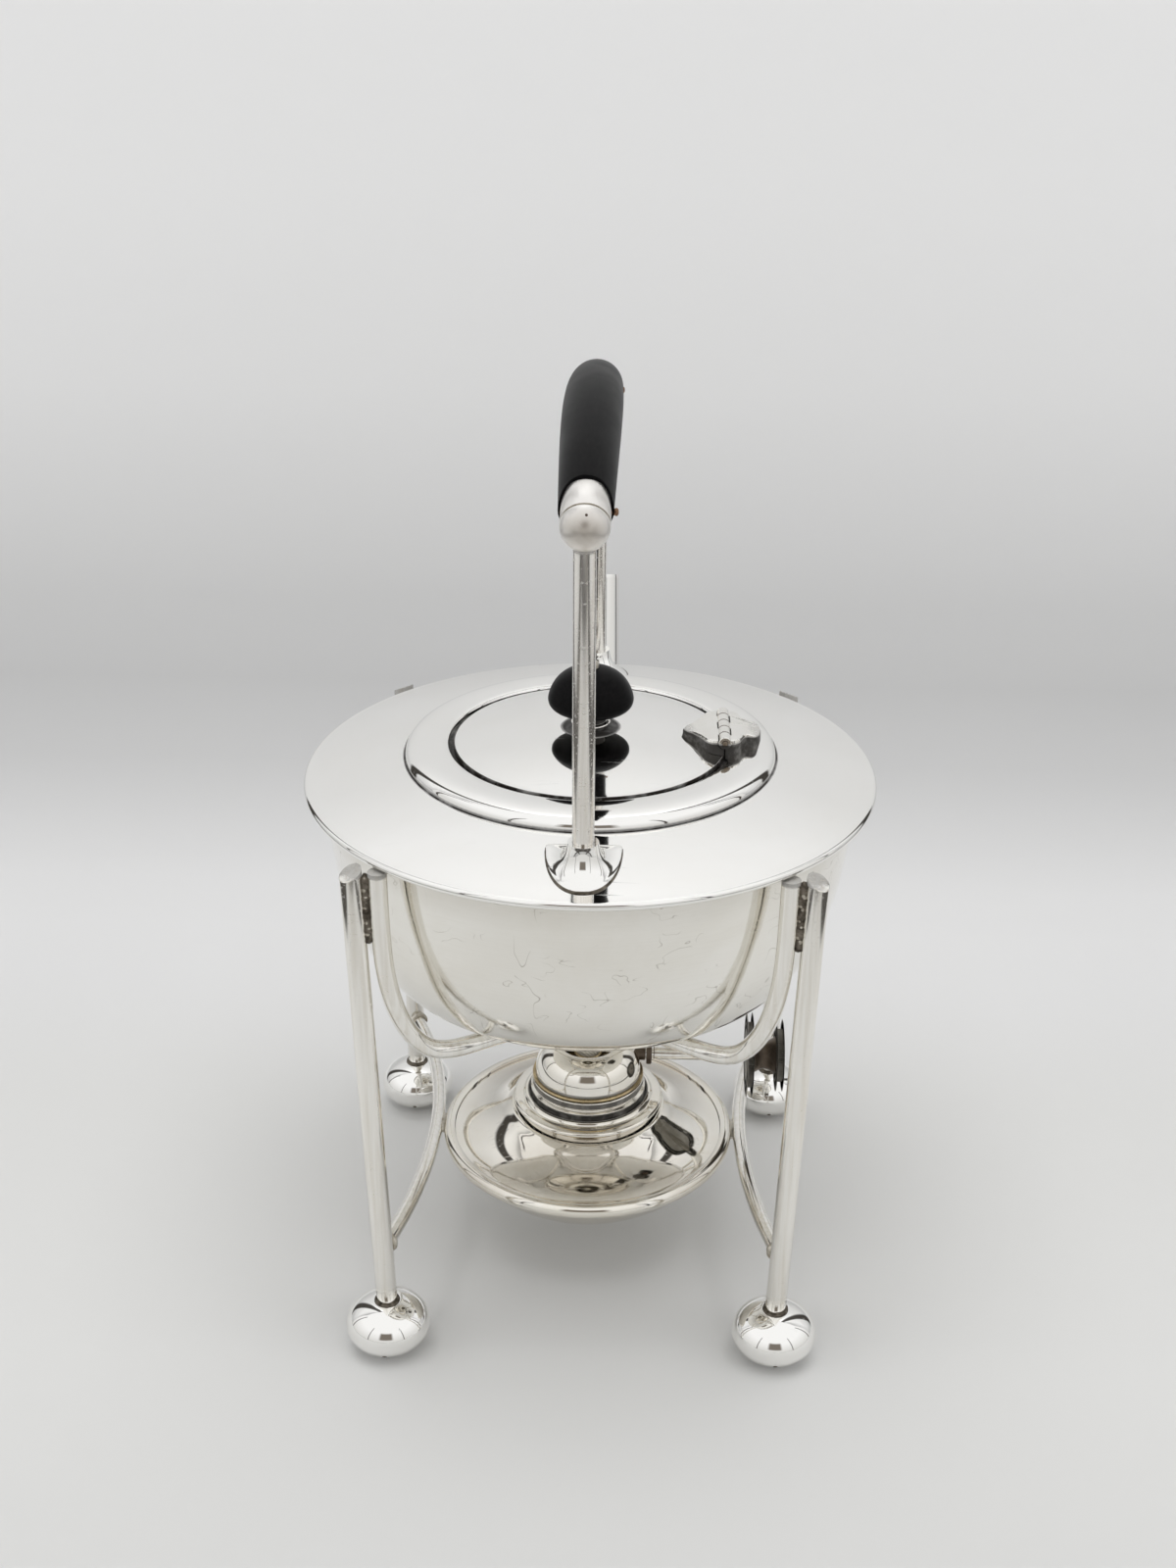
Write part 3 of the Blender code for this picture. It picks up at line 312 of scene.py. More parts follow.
def curlGroup():
    # thin curling scratches: the level lines of a noise, broken into patches
    group, start, end = newGroup("curledScratches", Scale=90.0, Width=0.006, Patch=0.56)
    total = None
    for turn, tall in ((0.4, 0.45), (1.7, 1.6)):
        place = addNode(group, "ShaderNodeMapping", Rotation=(0, 0, turn), Location=(turn, turn, turn),
                        Scale=(1.0, 1.0, tall))
        group.links.new(start.outputs["Vector"], place.inputs["Vector"])
        noise = addNode(group, "ShaderNodeTexNoise", Detail=1.0, Roughness=0.4)
        group.links.new(place.outputs["Vector"], noise.inputs["Vector"])
        group.links.new(start.outputs["Scale"], noise.inputs["Scale"])
        patches = addNode(group, "ShaderNodeTexNoise", Scale=75.0, Detail=2.0)
        group.links.new(place.outputs["Vector"], patches.inputs["Vector"])
        away = mathNode(group, "ABSOLUTE", mathNode(group, "SUBTRACT", noise.outputs["Fac"], 0.5))
        share = mathNode(group, "DIVIDE", away, start.outputs["Width"])
        line = mapRange(group, share, 0.4, 1.0, 1.0, 0.0)
        above = mathNode(group, "SUBTRACT", patches.outputs["Fac"], start.outputs["Patch"])
        line = mathNode(group, "MULTIPLY", line, mapRange(group, above, 0.0, 0.03, 0.0, 1.0))
        total = line if total is None else mathNode(group, "MAXIMUM", total, line)
    group.links.new(total, end.inputs["Mask"])
    return group


def spreadNoise(group, noise, start, end):
    # scales a noise, widens it about its middle by the contrast, and keeps it from 0 to 1
    group.links.new(start.outputs["Scale"], noise.inputs["Scale"])
    spread = mathNode(group, "MULTIPLY", mathNode(group, "SUBTRACT", noise.outputs["Fac"], 0.5),
                      start.outputs["Contrast"])
    out = mathNode(group, "ADD", mathNode(group, "MULTIPLY", spread, 2.0), 0.5)
    clamp = addNode(group, "ShaderNodeClamp")
    group.links.new(out, clamp.inputs["Value"])
    group.links.new(clamp.outputs["Result"], end.inputs["Mask"])


def cloudGroup():
    # slow uneven patches, as wiping and old tarnish leave them
    group, start, end = newGroup("wipedClouds", Scale=20.0, Contrast=0.5)
    noise = addNode(group, "ShaderNodeTexNoise", Detail=5.0, Roughness=0.6, Distortion=0.4)
    group.links.new(start.outputs["Vector"], noise.inputs["Vector"])
    spreadNoise(group, noise, start, end)
    return group


def streakGroup():
    # long streaks down a drawn tube
    group, start, end = newGroup("drawnStreaks", Scale=700.0, Contrast=1.0)
    stretch = addNode(group, "ShaderNodeMapping", Scale=(1.0, 1.0, 0.035))
    group.links.new(start.outputs["Vector"], stretch.inputs["Vector"])
    noise = addNode(group, "ShaderNodeTexNoise", Detail=3.0, Roughness=0.55)
    group.links.new(stretch.outputs["Vector"], noise.inputs["Vector"])
    spreadNoise(group, noise, start, end)
    return group


def turnedGroup():
    # lines that run round a turned piece, from its angle and its height
    group, start, end = newGroup("turnedLines", Fineness=1800.0, Length=3.0)
    parts = group.nodes.new("ShaderNodeSeparateXYZ")
    group.links.new(start.outputs["Vector"], parts.inputs["Vector"])
    angle = mathNode(group, "ARCTAN2", parts.outputs["Y"], parts.outputs["X"])
    around = mathNode(group, "MULTIPLY", mathNode(group, "COSINE", angle), start.outputs["Length"])
    across = mathNode(group, "MULTIPLY", mathNode(group, "SINE", angle), start.outputs["Length"])
    height = mathNode(group, "MULTIPLY", parts.outputs["Z"], start.outputs["Fineness"])
    vector = group.nodes.new("ShaderNodeCombineXYZ")
    group.links.new(around, vector.inputs["X"])
    group.links.new(across, vector.inputs["Y"])
    group.links.new(height, vector.inputs["Z"])
    noise = addNode(group, "ShaderNodeTexNoise", Scale=1.0, Detail=3.0, Roughness=0.65)
    group.links.new(vector.outputs["Vector"], noise.inputs["Vector"])
    group.links.new(noise.outputs["Fac"], end.inputs["Mask"])
    return group


hairlines = hairlineGroup()
clouds = cloudGroup()
turnedLines = turnedGroup()
streaks = streakGroup()
curls = curlGroup()


def placeGroup(tree, group, vector, **values):
    node = tree.nodes.new("ShaderNodeGroup")
    node.node_tree = group
    tree.links.new(vector, node.inputs["Vector"])
    for label, value in values.items():
        node.inputs[label].default_value = value
    return node.outputs["Mask"]


def newMaterial(name):
    material = bpy.data.materials.new(name)
    material.use_nodes = True
    tree = material.node_tree
    shader = tree.nodes["Principled BSDF"]
    place = tree.nodes.new("ShaderNodeTexCoord")
    return material, tree, shader, place.outputs["Object"]


def mixColours(tree, mask, first, second):
    node = tree.nodes.new("ShaderNodeMix")
    node.data_type = "RGBA"
    node.inputs["A"].default_value = (*first, 1)
    node.inputs["B"].default_value = (*second, 1)
    tree.links.new(mask, node.inputs["Factor"])
    return node.outputs["Result"]


def paintOver(tree, under, mask, colour):
    node = tree.nodes.new("ShaderNodeMix")
    node.data_type = "RGBA"
    tree.links.new(under, node.inputs["A"])
    node.inputs["B"].default_value = (*colour, 1)
    tree.links.new(mask, node.inputs["Factor"])
    return node.outputs["Result"]


def band(tree, value, low, high, soft):
    # 1 between low and high, 0 outside
    rise = mapRange(tree, value, low - soft, low + soft, 0.0, 1.0)
    fall = mapRange(tree, value, high - soft, high + soft, 1.0, 0.0)
    return mathNode(tree, "MULTIPLY", rise, fall)


def addBump(tree, shader, height, strength, distance):
    bump = addNode(tree, "ShaderNodeBump", Strength=strength, Distance=distance)
    tree.links.new(height, bump.inputs["Height"])
    tree.links.new(bump.outputs["Normal"], shader.inputs["Normal"])


def centredVector(tree, coords, centre):
    place = addNode(tree, "ShaderNodeMapping", Location=[-c * mm for c in centre])
    tree.links.new(coords, place.inputs["Vector"])
    return place.outputs["Vector"]


def darkeningMask(tree, vector, bands):
    # bands of darkening, painted shade in most uses, each a measure in mm, its low and high, how soft its
    # edges are, and its strength
    parts = tree.nodes.new("ShaderNodeSeparateXYZ")
    tree.links.new(vector, parts.inputs["Vector"])
    flat = mathNode(tree, "ADD", mathNode(tree, "MULTIPLY", parts.outputs["X"], parts.outputs["X"]),
                    mathNode(tree, "MULTIPLY", parts.outputs["Y"], parts.outputs["Y"]))
    measures = {"radius": mathNode(tree, "SQRT", flat), "height": parts.outputs["Z"],
                "along": mathNode(tree, "ABSOLUTE", parts.outputs["Y"])}
    total = None
    for measure, low, high, soft, strength in bands:
        layer = mathNode(tree, "MULTIPLY", band(tree, measures[measure], low * mm, high * mm, soft * mm),
                         strength)
        total = layer if total is None else mathNode(tree, "MAXIMUM", total, layer)
    uneven = placeGroup(tree, clouds, vector, Scale=150.0, Contrast=1.4)
    return mathNode(tree, "MULTIPLY", total, mapRange(tree, uneven, 0.0, 0.6, 0.8, 1.0))


# colours painted over the plate: real wear and scratches, and painted shade in gaps and under rims and
# overhangs
stainsAndShade = {"paintedShade": (0.014, 0.011, 0.009), "paintedShadeRough": 0.3, "paintedShadeGloss": 0.15,
          "warmDarkening": (0.50, 0.455, 0.40), "worn": (0.62, 0.59, 0.52), "curl": (0.26, 0.23, 0.18),
          "rimShade": (0.44, 0.40, 0.33)}


def silverPlate(name, bright=(0.96, 0.955, 0.94), warm=(0.92, 0.91, 0.88), rough=(0.02, 0.055),
                cloudScale=24.0, scratchScale=34.0, scratchFrom=0.72, centre=kettleAxis,
                bands=(), drawn=False, warmDarkening=()):
    # polished plate with wiped clouds, warmer tarnish in patches and hairline scratches; where given, bands
    # of painted shade and warm darkening
    material, tree, shader, coords = newMaterial(name)
    shader.inputs["Metallic"].default_value = 1.0
    vector = centredVector(tree, coords, centre)
    haze = placeGroup(tree, clouds, vector, Scale=cloudScale, Contrast=0.8)
    if drawn:
        haze = mathNode(tree, "MAXIMUM", mathNode(tree, "MULTIPLY", haze, 0.6),
                        placeGroup(tree, streaks, vector, Scale=650.0, Contrast=1.5))
    marks = placeGroup(tree, hairlines, vector, Scale=scratchScale, Threshold=scratchFrom)
    colour = mixColours(tree, haze, bright, warm)
    base = mapRange(tree, haze, 0.0, 1.0, *rough)
    gloss = mathNode(tree, "ADD", base, mathNode(tree, "MULTIPLY", marks, 0.16))
    if warmDarkening:
        colour = paintOver(tree, colour, darkeningMask(tree, vector, warmDarkening), stainsAndShade["warmDarkening"])
    if bands:  # painted shade: no metal, so it stays dark whatever it faces
        dark = darkeningMask(tree, vector, bands)
        colour = paintOver(tree, colour, dark, stainsAndShade["paintedShade"])
        gloss = mathNode(tree, "ADD", gloss, mathNode(tree, "MULTIPLY", dark, stainsAndShade["paintedShadeRough"]))
        tree.links.new(mapRange(tree, dark, 0.15, 0.6, 1.0, 0.0), shader.inputs["Metallic"])
        shader.inputs["Specular IOR Level"].default_value = stainsAndShade["paintedShadeGloss"]
    tree.links.new(colour, shader.inputs["Base Color"])
    tree.links.new(gloss, shader.inputs["Roughness"])
    addBump(tree, shader, mathNode(tree, "MULTIPLY", marks, -1.0), 0.10, 0.00003)
    return material


def brushedPlate(name, centre):
    # the bowl's side: fine lines round it, longer scratches, a duller sheen and painted shade along its top
    # under the shoulder's rim
    material, tree, shader, coords = newMaterial(name)
    shader.inputs["Metallic"].default_value = 1.0
    vector = centredVector(tree, coords, centre)
    lines = placeGroup(tree, turnedLines, vector, Fineness=2600.0, Length=5.0)
    haze = placeGroup(tree, clouds, vector, Scale=26.0, Contrast=0.9)
    marks = placeGroup(tree, hairlines, vector, Scale=70.0, Threshold=0.70)
    curled = placeGroup(tree, curls, vector, Scale=150.0, Width=0.0085, Patch=0.575)
    colour = mixColours(tree, haze, (0.93, 0.92, 0.885), (0.84, 0.815, 0.755))
    worn = mathNode(tree, "MULTIPLY", mapRange(tree, lines, 0.42, 0.72, 0.0, 1.0), 0.10)
    colour = paintOver(tree, colour, worn, stainsAndShade["worn"])
    colour = paintOver(tree, colour, mathNode(tree, "MULTIPLY", curled, 0.52), stainsAndShade["curl"])
    # painted shade along the bowl's top, under the shoulder's rim
    shade = darkeningMask(tree, vector, [("height", 178.0, 190.0, 9.0, 0.55)])
    colour = paintOver(tree, colour, shade, stainsAndShade["rimShade"])
    tree.links.new(colour, shader.inputs["Base Color"])
    base = mapRange(tree, lines, 0.3, 0.7, 0.05, 0.11)
    rough = mathNode(tree, "ADD", base, mathNode(tree, "MULTIPLY", marks, 0.12))
    tree.links.new(rough, shader.inputs["Roughness"])
    height = mathNode(tree, "SUBTRACT", mathNode(tree, "MULTIPLY", lines, 0.3), marks)
    addBump(tree, shader, height, 0.09, 0.00002)
    return material


def oldBrass(name, bright, dark, low, high, scale):
    material, tree, shader, coords = newMaterial(name)
    shader.inputs["Metallic"].default_value = 1.0
    haze = placeGroup(tree, clouds, coords, Scale=scale, Contrast=1.2)
    marks = placeGroup(tree, hairlines, coords, Scale=140.0, Threshold=0.62)
    tree.links.new(mixColours(tree, haze, bright, dark), shader.inputs["Base Color"])
    rough = mathNode(tree, "ADD", mapRange(tree, haze, 0.0, 1.0, low, high),
                     mathNode(tree, "MULTIPLY", marks, 0.12))
    tree.links.new(rough, shader.inputs["Roughness"])
    addBump(tree, shader, haze, 0.15, 0.00005)
    return material


def blackWood(name):
    # ebonised wood: nearly black, with faint grain along the piece and handled patches
    material, tree, shader, coords = newMaterial(name)
    stretch = addNode(tree, "ShaderNodeMapping", Scale=(9.0, 1.0, 9.0))
    tree.links.new(coords, stretch.inputs["Vector"])
    grain = addNode(tree, "ShaderNodeTexNoise", Scale=120.0, Detail=4.0, Roughness=0.6)
    tree.links.new(stretch.outputs["Vector"], grain.inputs["Vector"])
    handled = placeGroup(tree, clouds, coords, Scale=45.0, Contrast=1.0)
    shade = mapRange(tree, grain.outputs["Fac"], 0.35, 0.7, 0.0, 1.0)
    tree.links.new(mixColours(tree, shade, (0.003, 0.003, 0.0033), (0.0068, 0.0064, 0.0064)),
                   shader.inputs["Base Color"])
    shader.inputs["Specular IOR Level"].default_value = 0.05
    rough = mapRange(tree, handled, 0.0, 1.0, 0.32, 0.44)
    tree.links.new(rough, shader.inputs["Roughness"])
    addBump(tree, shader, grain.outputs["Fac"], 0.10, 0.00006)
    return material


def wovenCotton(name):
    # the wick's plaited threads
    material, tree, shader, coords = newMaterial(name)
    weave = addNode(tree, "ShaderNodeTexWave", Scale=420.0, Distortion=1.5, Detail=1.0)
    weave.wave_type = "BANDS"
    weave.bands_direction = "DIAGONAL"
    tree.links.new(coords, weave.inputs["Vector"])
    tree.links.new(mixColours(tree, weave.outputs["Fac"], (0.50, 0.46, 0.38), (0.82, 0.78, 0.68)),
                   shader.inputs["Base Color"])
    shader.inputs["Roughness"].default_value = 0.95
    addBump(tree, shader, weave.outputs["Fac"], 0.6, 0.0002)
    return material


polishedSilver = silverPlate("polishedSilver")
# painted shade along the moulding's outer foot, where it meets the shoulder
mouldedSilver = silverPlate("mouldedSilver", bands=[("radius", 61.35, 63.0, 0.1, 1.0)])
# painted shade on the shoulder in the gap round the lid, under the moulding's outer edge, and faintly under
# the rim's bead
shoulderSilver = silverPlate("shoulderSilver", scratchFrom=0.715,
                             bands=[("radius", 43.0, 48.2, 0.2, 1.0), ("radius", 60.5, 62.1, 0.25, 1.0),
                                    ("height", 178.0, 181.3, 0.4, 0.5)])
# painted shade round the lid's edge, and a nearly black painted shadow round the knob's foot
lidSilver = silverPlate("lidSilver", rough=(0.02, 0.05),
                        bands=[("radius", 44.95, 46.5, 0.1, 1.0), ("radius", 0.0, 9.6, 0.7, 0.97)])
# painted shade on the tops of the legs and cradle bars, beside and under the shoulder's rim
tubeSilver = silverPlate("tubeSilver", (0.94, 0.93, 0.90), (0.80, 0.77, 0.71), (0.05, 0.13),
                         60.0, 80.0, 0.69, (0, 0, 0), [("height", 179.4, 190.0, 0.5, 0.55)], drawn=True)
# painted shade on the posts' tops, where they rise into the ferrules
postSilver = silverPlate("postSilver", (0.92, 0.905, 0.88), (0.74, 0.70, 0.64), (0.10, 0.19),
                         60.0, 90.0, 0.69, (0, 0, 0), [("height", 286.2, 294.0, 0.9, 0.9)], drawn=True)
# a darker, warmer patch painted on the outer end of each ferrule's ball: a painted reflection, darker in
# the ball's middle than at its edges
satinSilver = silverPlate("satinSilver", (0.93, 0.915, 0.89), (0.84, 0.815, 0.78), (0.30, 0.40),
                          80.0, 120.0, 0.70, warmDarkening=[("along", 83.6, 95.0, 2.4, 0.92)])
# painted shade on the collar's walls under the knob, above and below its flange
collarSilver = silverPlate("collarSilver", (0.94, 0.93, 0.90), (0.82, 0.79, 0.73), (0.06, 0.12),
                           90.0, 120.0, 0.70, (0, 0, 0),
                           [("height", 199.0, 200.5, 0.12, 0.95), ("height", 201.6, 206.0, 0.12, 0.97)])
# painted shadow inside the collar's bore and painted shade along the burner dome's foot; the lamp's pieces
# are also darker and warmer in bands towards their front and back
lampSilver = silverPlate("lampSilver", (0.93, 0.915, 0.875), (0.80, 0.755, 0.66), (0.025, 0.07),
                         40.0, 60.0, 0.70,
                         bands=[("radius", 20.4, 21.6, 0.3, 0.95), ("height", 64.2, 65.2, 0.2, 0.7)],
                         warmDarkening=[("along", 25.0, 44.0, 6.0, 0.45)])
# painted shade on the hinge's leaf sides and the knuckles' lower halves, below the lit top
hingeSilver = silverPlate("hingeSilver", (0.94, 0.93, 0.90), (0.86, 0.84, 0.79), (0.07, 0.14),
                          120.0, 160.0, 0.68, (0, 0, 0), [("height", 180.0, 199.0, 0.45, 0.95)])
# painted shade on the burner ring, low down where it rises from the collar and in a band under the gallery
ringSilver = silverPlate("ringSilver", (0.90, 0.88, 0.84), (0.74, 0.70, 0.62), (0.06, 0.16),
                         90.0, 120.0, 0.68,
                         bands=[("height", 40.0, 58.5, 0.15, 0.95), ("height", 60.3, 62.4, 0.2, 0.85)])
bowlSilver = brushedPlate("brushedSilver", kettleAxis)
solderSilver = oldBrass("solderSilver", (0.74, 0.71, 0.64), (0.30, 0.26, 0.20), 0.22, 0.45, 300.0)
# the dark solder and dark brass also make pieces that stand for shade: the leg seams, knuckle gaps, ferrule
# pits and foot vents
darkSolderAndShade = oldBrass("darkSolderAndShade", (0.26, 0.23, 0.19), (0.03, 0.024, 0.018), 0.28, 0.5, 420.0)
burnerBrass = oldBrass("burnerBrass", (0.66, 0.54, 0.32), (0.36, 0.27, 0.16), 0.20, 0.42, 160.0)
darkBrassAndShade = oldBrass("darkBrassAndShade", (0.22, 0.18, 0.14), (0.085, 0.065, 0.05), 0.28, 0.46, 160.0)
milledSteel = oldBrass("milledSteel", (0.46, 0.445, 0.41), (0.31, 0.295, 0.265), 0.50, 0.62, 200.0)
copperRivet = oldBrass("copperRivet", (0.42, 0.25, 0.16), (0.10, 0.055, 0.035), 0.30, 0.50, 500.0)
ebonisedWood = blackWood("ebonisedWood")
cottonWick = wovenCotton("cottonWick")
print("materials made")


domeSizes = {"radius": 95.0, "rimHeight": 183.79, "crown": 11.5, "beadRadius": 1.5, "wall": 1.2,
             "mouth": 43.2}
lidSizes = {"radius": 45.4, "edge": 194.412, "crown": 4.9, "wall": 1.2, "seat": 193.212,
            "skirtRadius": 42.3, "skirtDepth": 5.0, "edgeRound": 0.5, "bore": 1.8}
bowlSizes = {"flatRadius": 62.5, "radius": 88.1, "base": 114.5, "depth": 69.4, "wall": 1.2}


def domeHeight(radius):
    share = radius / domeSizes["radius"]
    return domeSizes["rimHeight"] + domeSizes["crown"] * (1 - share * share)


def lidHeight(radius):
    share = radius / lidSizes["radius"]
    return lidSizes["edge"] + lidSizes["crown"] * (1 - share * share)


def surfaceLine(surface, start, stop, steps, lift=0.0):
    # points along a domed surface, from one radius to another
    points = []
    for step in range(steps + 1):
        radius = start + (stop - start) * step / steps
        points.append((radius, surface(radius) + lift))
    return points


def bowlProfile(inset, steps):
    # from the top edge down to the flat base
    points = []
    width = bowlSizes["radius"] - bowlSizes["flatRadius"]
    for step in range(steps + 1):
        angle = quarterTurn * (1 - step / steps)
        points.append((bowlSizes["flatRadius"] + (width - inset) * math.sin(angle),
                       bowlSizes["base"] + bowlSizes["depth"]
                       - (bowlSizes["depth"] - inset) * math.cos(angle)))
    return points


spoutSizes = {"rootRadius": 9.2, "tipRadius": 7.5, "wall": 1.0, "lipRound": 0.4,
              "route": [(68.0, 130.0), (87.2, 145.99), (95.36, 156.24), (101.12, 167.31),
                        (104.96, 178.38), (108.56, 189.86), (112.16, 200.93), (116.0, 212.0)]}


def spoutSolid(name, shrink, overshoot):
    route = [(0, kettleY + y, z) for y, z in spoutSizes["route"]]
    radii = []
    last = len(route) - 1
    for index in range(last + 1):
        radius = (spoutSizes["rootRadius"]
                  - (spoutSizes["rootRadius"] - spoutSizes["tipRadius"]) * index / last - shrink)
        radii.append(radius / spoutSizes["rootRadius"])
    if overshoot:
        route.append(tuple(2 * a - b for a, b in zip(route[-1], route[-2])))
        radii.append(radii[-1])
    return sweepBar(name, route, spoutSizes["rootRadius"], radii, roundness=18, resolution=8)


def makeBowl():
    inside = bowlProfile(bowlSizes["wall"], 26)
    outside = bowlProfile(0, 40)
    base = bowlSizes["base"]
    bowl = spinProfile("kettleBowl", [(0, base + bowlSizes["wall"])] + inside[::-1] + outside
                       + [(0, base)], steps=160)
    bowl = movePiece(bowl, 0, kettleY, 0)
    carve(bowl, spoutSolid("spoutHole", spoutSizes["wall"], False))
    dress(bowl, "kettleBowl", bowlSilver, "kettle", ["kettle_bowl"])


def makeSpout():
    spout = spoutSolid("spout", 0, False)
    carve(spout, spoutSolid("spoutBore", spoutSizes["wall"], True))
    top = bowlSizes["base"] + bowlSizes["depth"] + 2
    body = spinProfile("bowlSpace", [(0, top), (bowlSizes["radius"] + 0.1, top)]
                       + bowlProfile(-0.1, 40) + [(0, bowlSizes["base"] - 0.1)], steps=160)
    movePiece(body, 0, kettleY, 0)
    carve(spout, body)
    softenEdges(spout, spoutSizes["lipRound"], 3, 60)
    dress(spout, "spout", polishedSilver, "kettle", ["spout"], 40)


def makeShoulder():
    bead = domeSizes["beadRadius"]
    rim = domeSizes["radius"] - bead
    topSide = surfaceLine(domeHeight, domeSizes["mouth"], rim + 0.1, 26)
    roll = arcPoints((rim, domeHeight(rim + 0.1) - bead * 0.985), bead, 72, -100, 16)
    inner = (rim - bead * 1.2, domeHeight(rim) - bead * 1.5)
    underSide = surfaceLine(domeHeight, bowlSizes["radius"], domeSizes["mouth"], 12, -domeSizes["wall"])
    turnedPiece("shoulderPlate", "shoulder_plate", topSide + roll + [inner] + underSide, 192, True,
                shoulderSilver, "kettle")


mouldingSizes = {"inner": 46.9, "outer": 61.4, "height": 4.7, "gap": 0.3,
                 "shares": [(0.0, 0.70), (0.03, 0.86), (0.12, 0.965), (0.30, 1.0), (0.50, 0.985),
                            (0.68, 0.92), (0.82, 0.79), (0.92, 0.58), (0.975, 0.33), (1.0, 0.06)]}


def makeMoulding():
    width = mouldingSizes["outer"] - mouldingSizes["inner"]
    base = domeHeight(mouldingSizes["outer"]) + mouldingSizes["gap"]
    knots = [(mouldingSizes["inner"] + width * a, base + (mouldingSizes["height"] - 0.3) * b)
             for a, b in mouldingSizes["shares"]]
    crest = smoothPoints(knots, 4)
    under = []
    for share in (1.0, 0.66, 0.33, 0.0):
        radius = mouldingSizes["inner"] + width * share
        under.append((radius, domeHeight(radius) + 0.1))
    turnedPiece("lidMoulding", "lid_moulding", crest + under, 192, True, mouldedSilver, "kettle")


handleSizes = {"reach": 78.5, "axis": 292.838, "crown": 306.138, "rise": 13.3, "postRadius": 3.3,
               "footRadius": 11.6, "footHeight": 8.6, "neckRadius": 4.7, "flatAt": 0.93,
               "footShares": [(0.0, 1.0), (0.035, 0.82), (0.11, 0.60), (0.26, 0.39), (0.48, 0.235),
                              (0.72, 0.135), (0.90, 0.085), (0.985, 0.05), (1.0, 0.0)],
               "shieldPower": 2.25, "edgeTurn": 128, "edgeSteps": 40, "edgeWire": 0.42}
ferruleSizes = {"radius": 7.15, "length": 10.0, "scallopWidth": 8.6, "scallopDepth": 9.6,
                "squareness": 3.0, "groove": 0.4, "dotRadius": 0.42, "dotAngle": 42.6, "edgeRound": 0.25}
gripSizes = {"half": 73.5, "midRadius": 9.3, "endRadius": 7.75, "pinAlong": 70.0, "pinRadius": 1.2,
             "pinLeft": -7.5, "pinRight": 9.1, "pinDrop": 1.2, "edgeRound": 0.25}
archSlope = math.atan2(2 * handleSizes["rise"], handleSizes["reach"])


def archHeight(along):
    return handleSizes["crown"] - handleSizes["rise"] * (along / handleSizes["reach"]) ** 2


def ovalColumn(name, end, grow):
    middle = handleSizes["reach"] - ferruleSizes["length"] + ferruleSizes["scallopDepth"]
    deselect()
    bpy.ops.mesh.primitive_cylinder_add(vertices=96, radius=mm, depth=30 * mm,
                                        location=(0, (kettleY + end * middle) * mm,
                                                  handleSizes["axis"] * mm))
    column = bpy.context.object
    column.name = name
    column.scale = (ferruleSizes["scallopWidth"] + grow, ferruleSizes["scallopDepth"] + grow, 1)
    power = ferruleSizes["squareness"]
    for vertex in column.data.vertices:
        x, y = vertex.co.x / mm, vertex.co.y / mm
        share = (abs(x) ** power + abs(y) ** power) ** (-1 / power)
        vertex.co.x, vertex.co.y = x * share * mm, y * share * mm
    return applyPlace(column)


def shieldReach(angle):
    # distance to the rim of a foot that is flat towards the lid and rounded outwards;
    # the angle is taken from the outward direction
    size, flatAt, power = (handleSizes[key] for key in ("footRadius", "flatAt", "shieldPower"))
    lower, upper = 0.0, 2.2 * size
    for step in range(24):
        reach = (lower + upper) / 2
        across = abs(math.sin(angle)) * reach
        out = (math.cos(angle) * reach + size * flatAt) / (size * (1 + flatAt))
        shape = max(out, 0) ** power + (across / size) ** power
        if shape > 1 or out < 0:
            upper = reach
        else:
            lower = reach
    return lower


def makePostFoot(endName, end):
    neck = handleSizes["neckRadius"]
    spread = handleSizes["footRadius"] - neck
    tall = handleSizes["footHeight"]
    flare = smoothPoints([(neck + spread * a, tall * b) for a, b in handleSizes["footShares"]], 4)
    bore = handleSizes["postRadius"] + 0.05
    foot = spinProfile("postFoot", [(bore, tall)] + flare + [(bore, 0)], 96, True)
    base = domeHeight(handleSizes["reach"])
    centreY = kettleY + end * handleSizes["reach"]
    movePiece(foot, 0, centreY, base)
    for vertex in foot.data.vertices:  # a shield in plan, its base on the shoulder's dome
        x, y, z = vertex.co / mm
        out = end * (y - centreY)
        flat = math.hypot(x, out)
        if flat > neck:
            share = (flat - neck) / spread
            wanted = shieldReach(math.atan2(x, out)) - neck
            grown = (neck + wanted * share) / flat
            x, y = x * grown, centreY + end * out * grown
            vertex.co.x, vertex.co.y = x * mm, y * mm
        level = 1 - (z - base) / tall
        fall = domeHeight(math.hypot(x, y - kettleY)) - base
        vertex.co.z += (fall * level + 0.06) * mm
    dress(foot, "postFoot" + endName, polishedSilver, "kettle",
          ["post_foot_" + endName.lower()], 50)

    route = []
    shares = []
    steps = handleSizes["edgeSteps"]
    for step in range(steps + 1):  # a dark line along the foot's rounded edge, where it meets the shoulder
        angle = math.radians(-handleSizes["edgeTurn"] + 2 * handleSizes["edgeTurn"] * step / steps)
        reach = shieldReach(angle) + 0.02
        x, y = math.sin(angle) * reach, centreY + end * math.cos(angle) * reach
        route.append((x, y, domeHeight(math.hypot(x, y - kettleY)) + 0.22))
        shares.append(0.75 + 0.25 * math.cos(angle))
    shares[0] = shares[-1] = 0.35
    darkEdge = sweepBar("postFootEdge", route, handleSizes["edgeWire"], shares, 4, 2)
    dress(darkEdge, "postFootEdge" + endName, darkSolderAndShade, "kettle", (), 60)


def makePost(endName, end):
    low = domeHeight(handleSizes["reach"] - handleSizes["postRadius"]) + 0.2
    post = addRod("handlePost", (0, kettleY + end * handleSizes["reach"], low),
                  (0, kettleY + end * handleSizes["reach"], handleSizes["axis"] + 1.6),
                  handleSizes["postRadius"], vertices=64)
    dress(post, "handlePost" + endName, postSilver, "kettle",
          ["handle_post_" + endName.lower()])


def layAlongGrip(piece, end):
    # turns a piece that is drawn upright into the line of the grip's end
    return movePiece(piece, 0, kettleY + end * handleSizes["reach"], handleSizes["axis"],
                     (end * (quarterTurn - archSlope), 0, 0))


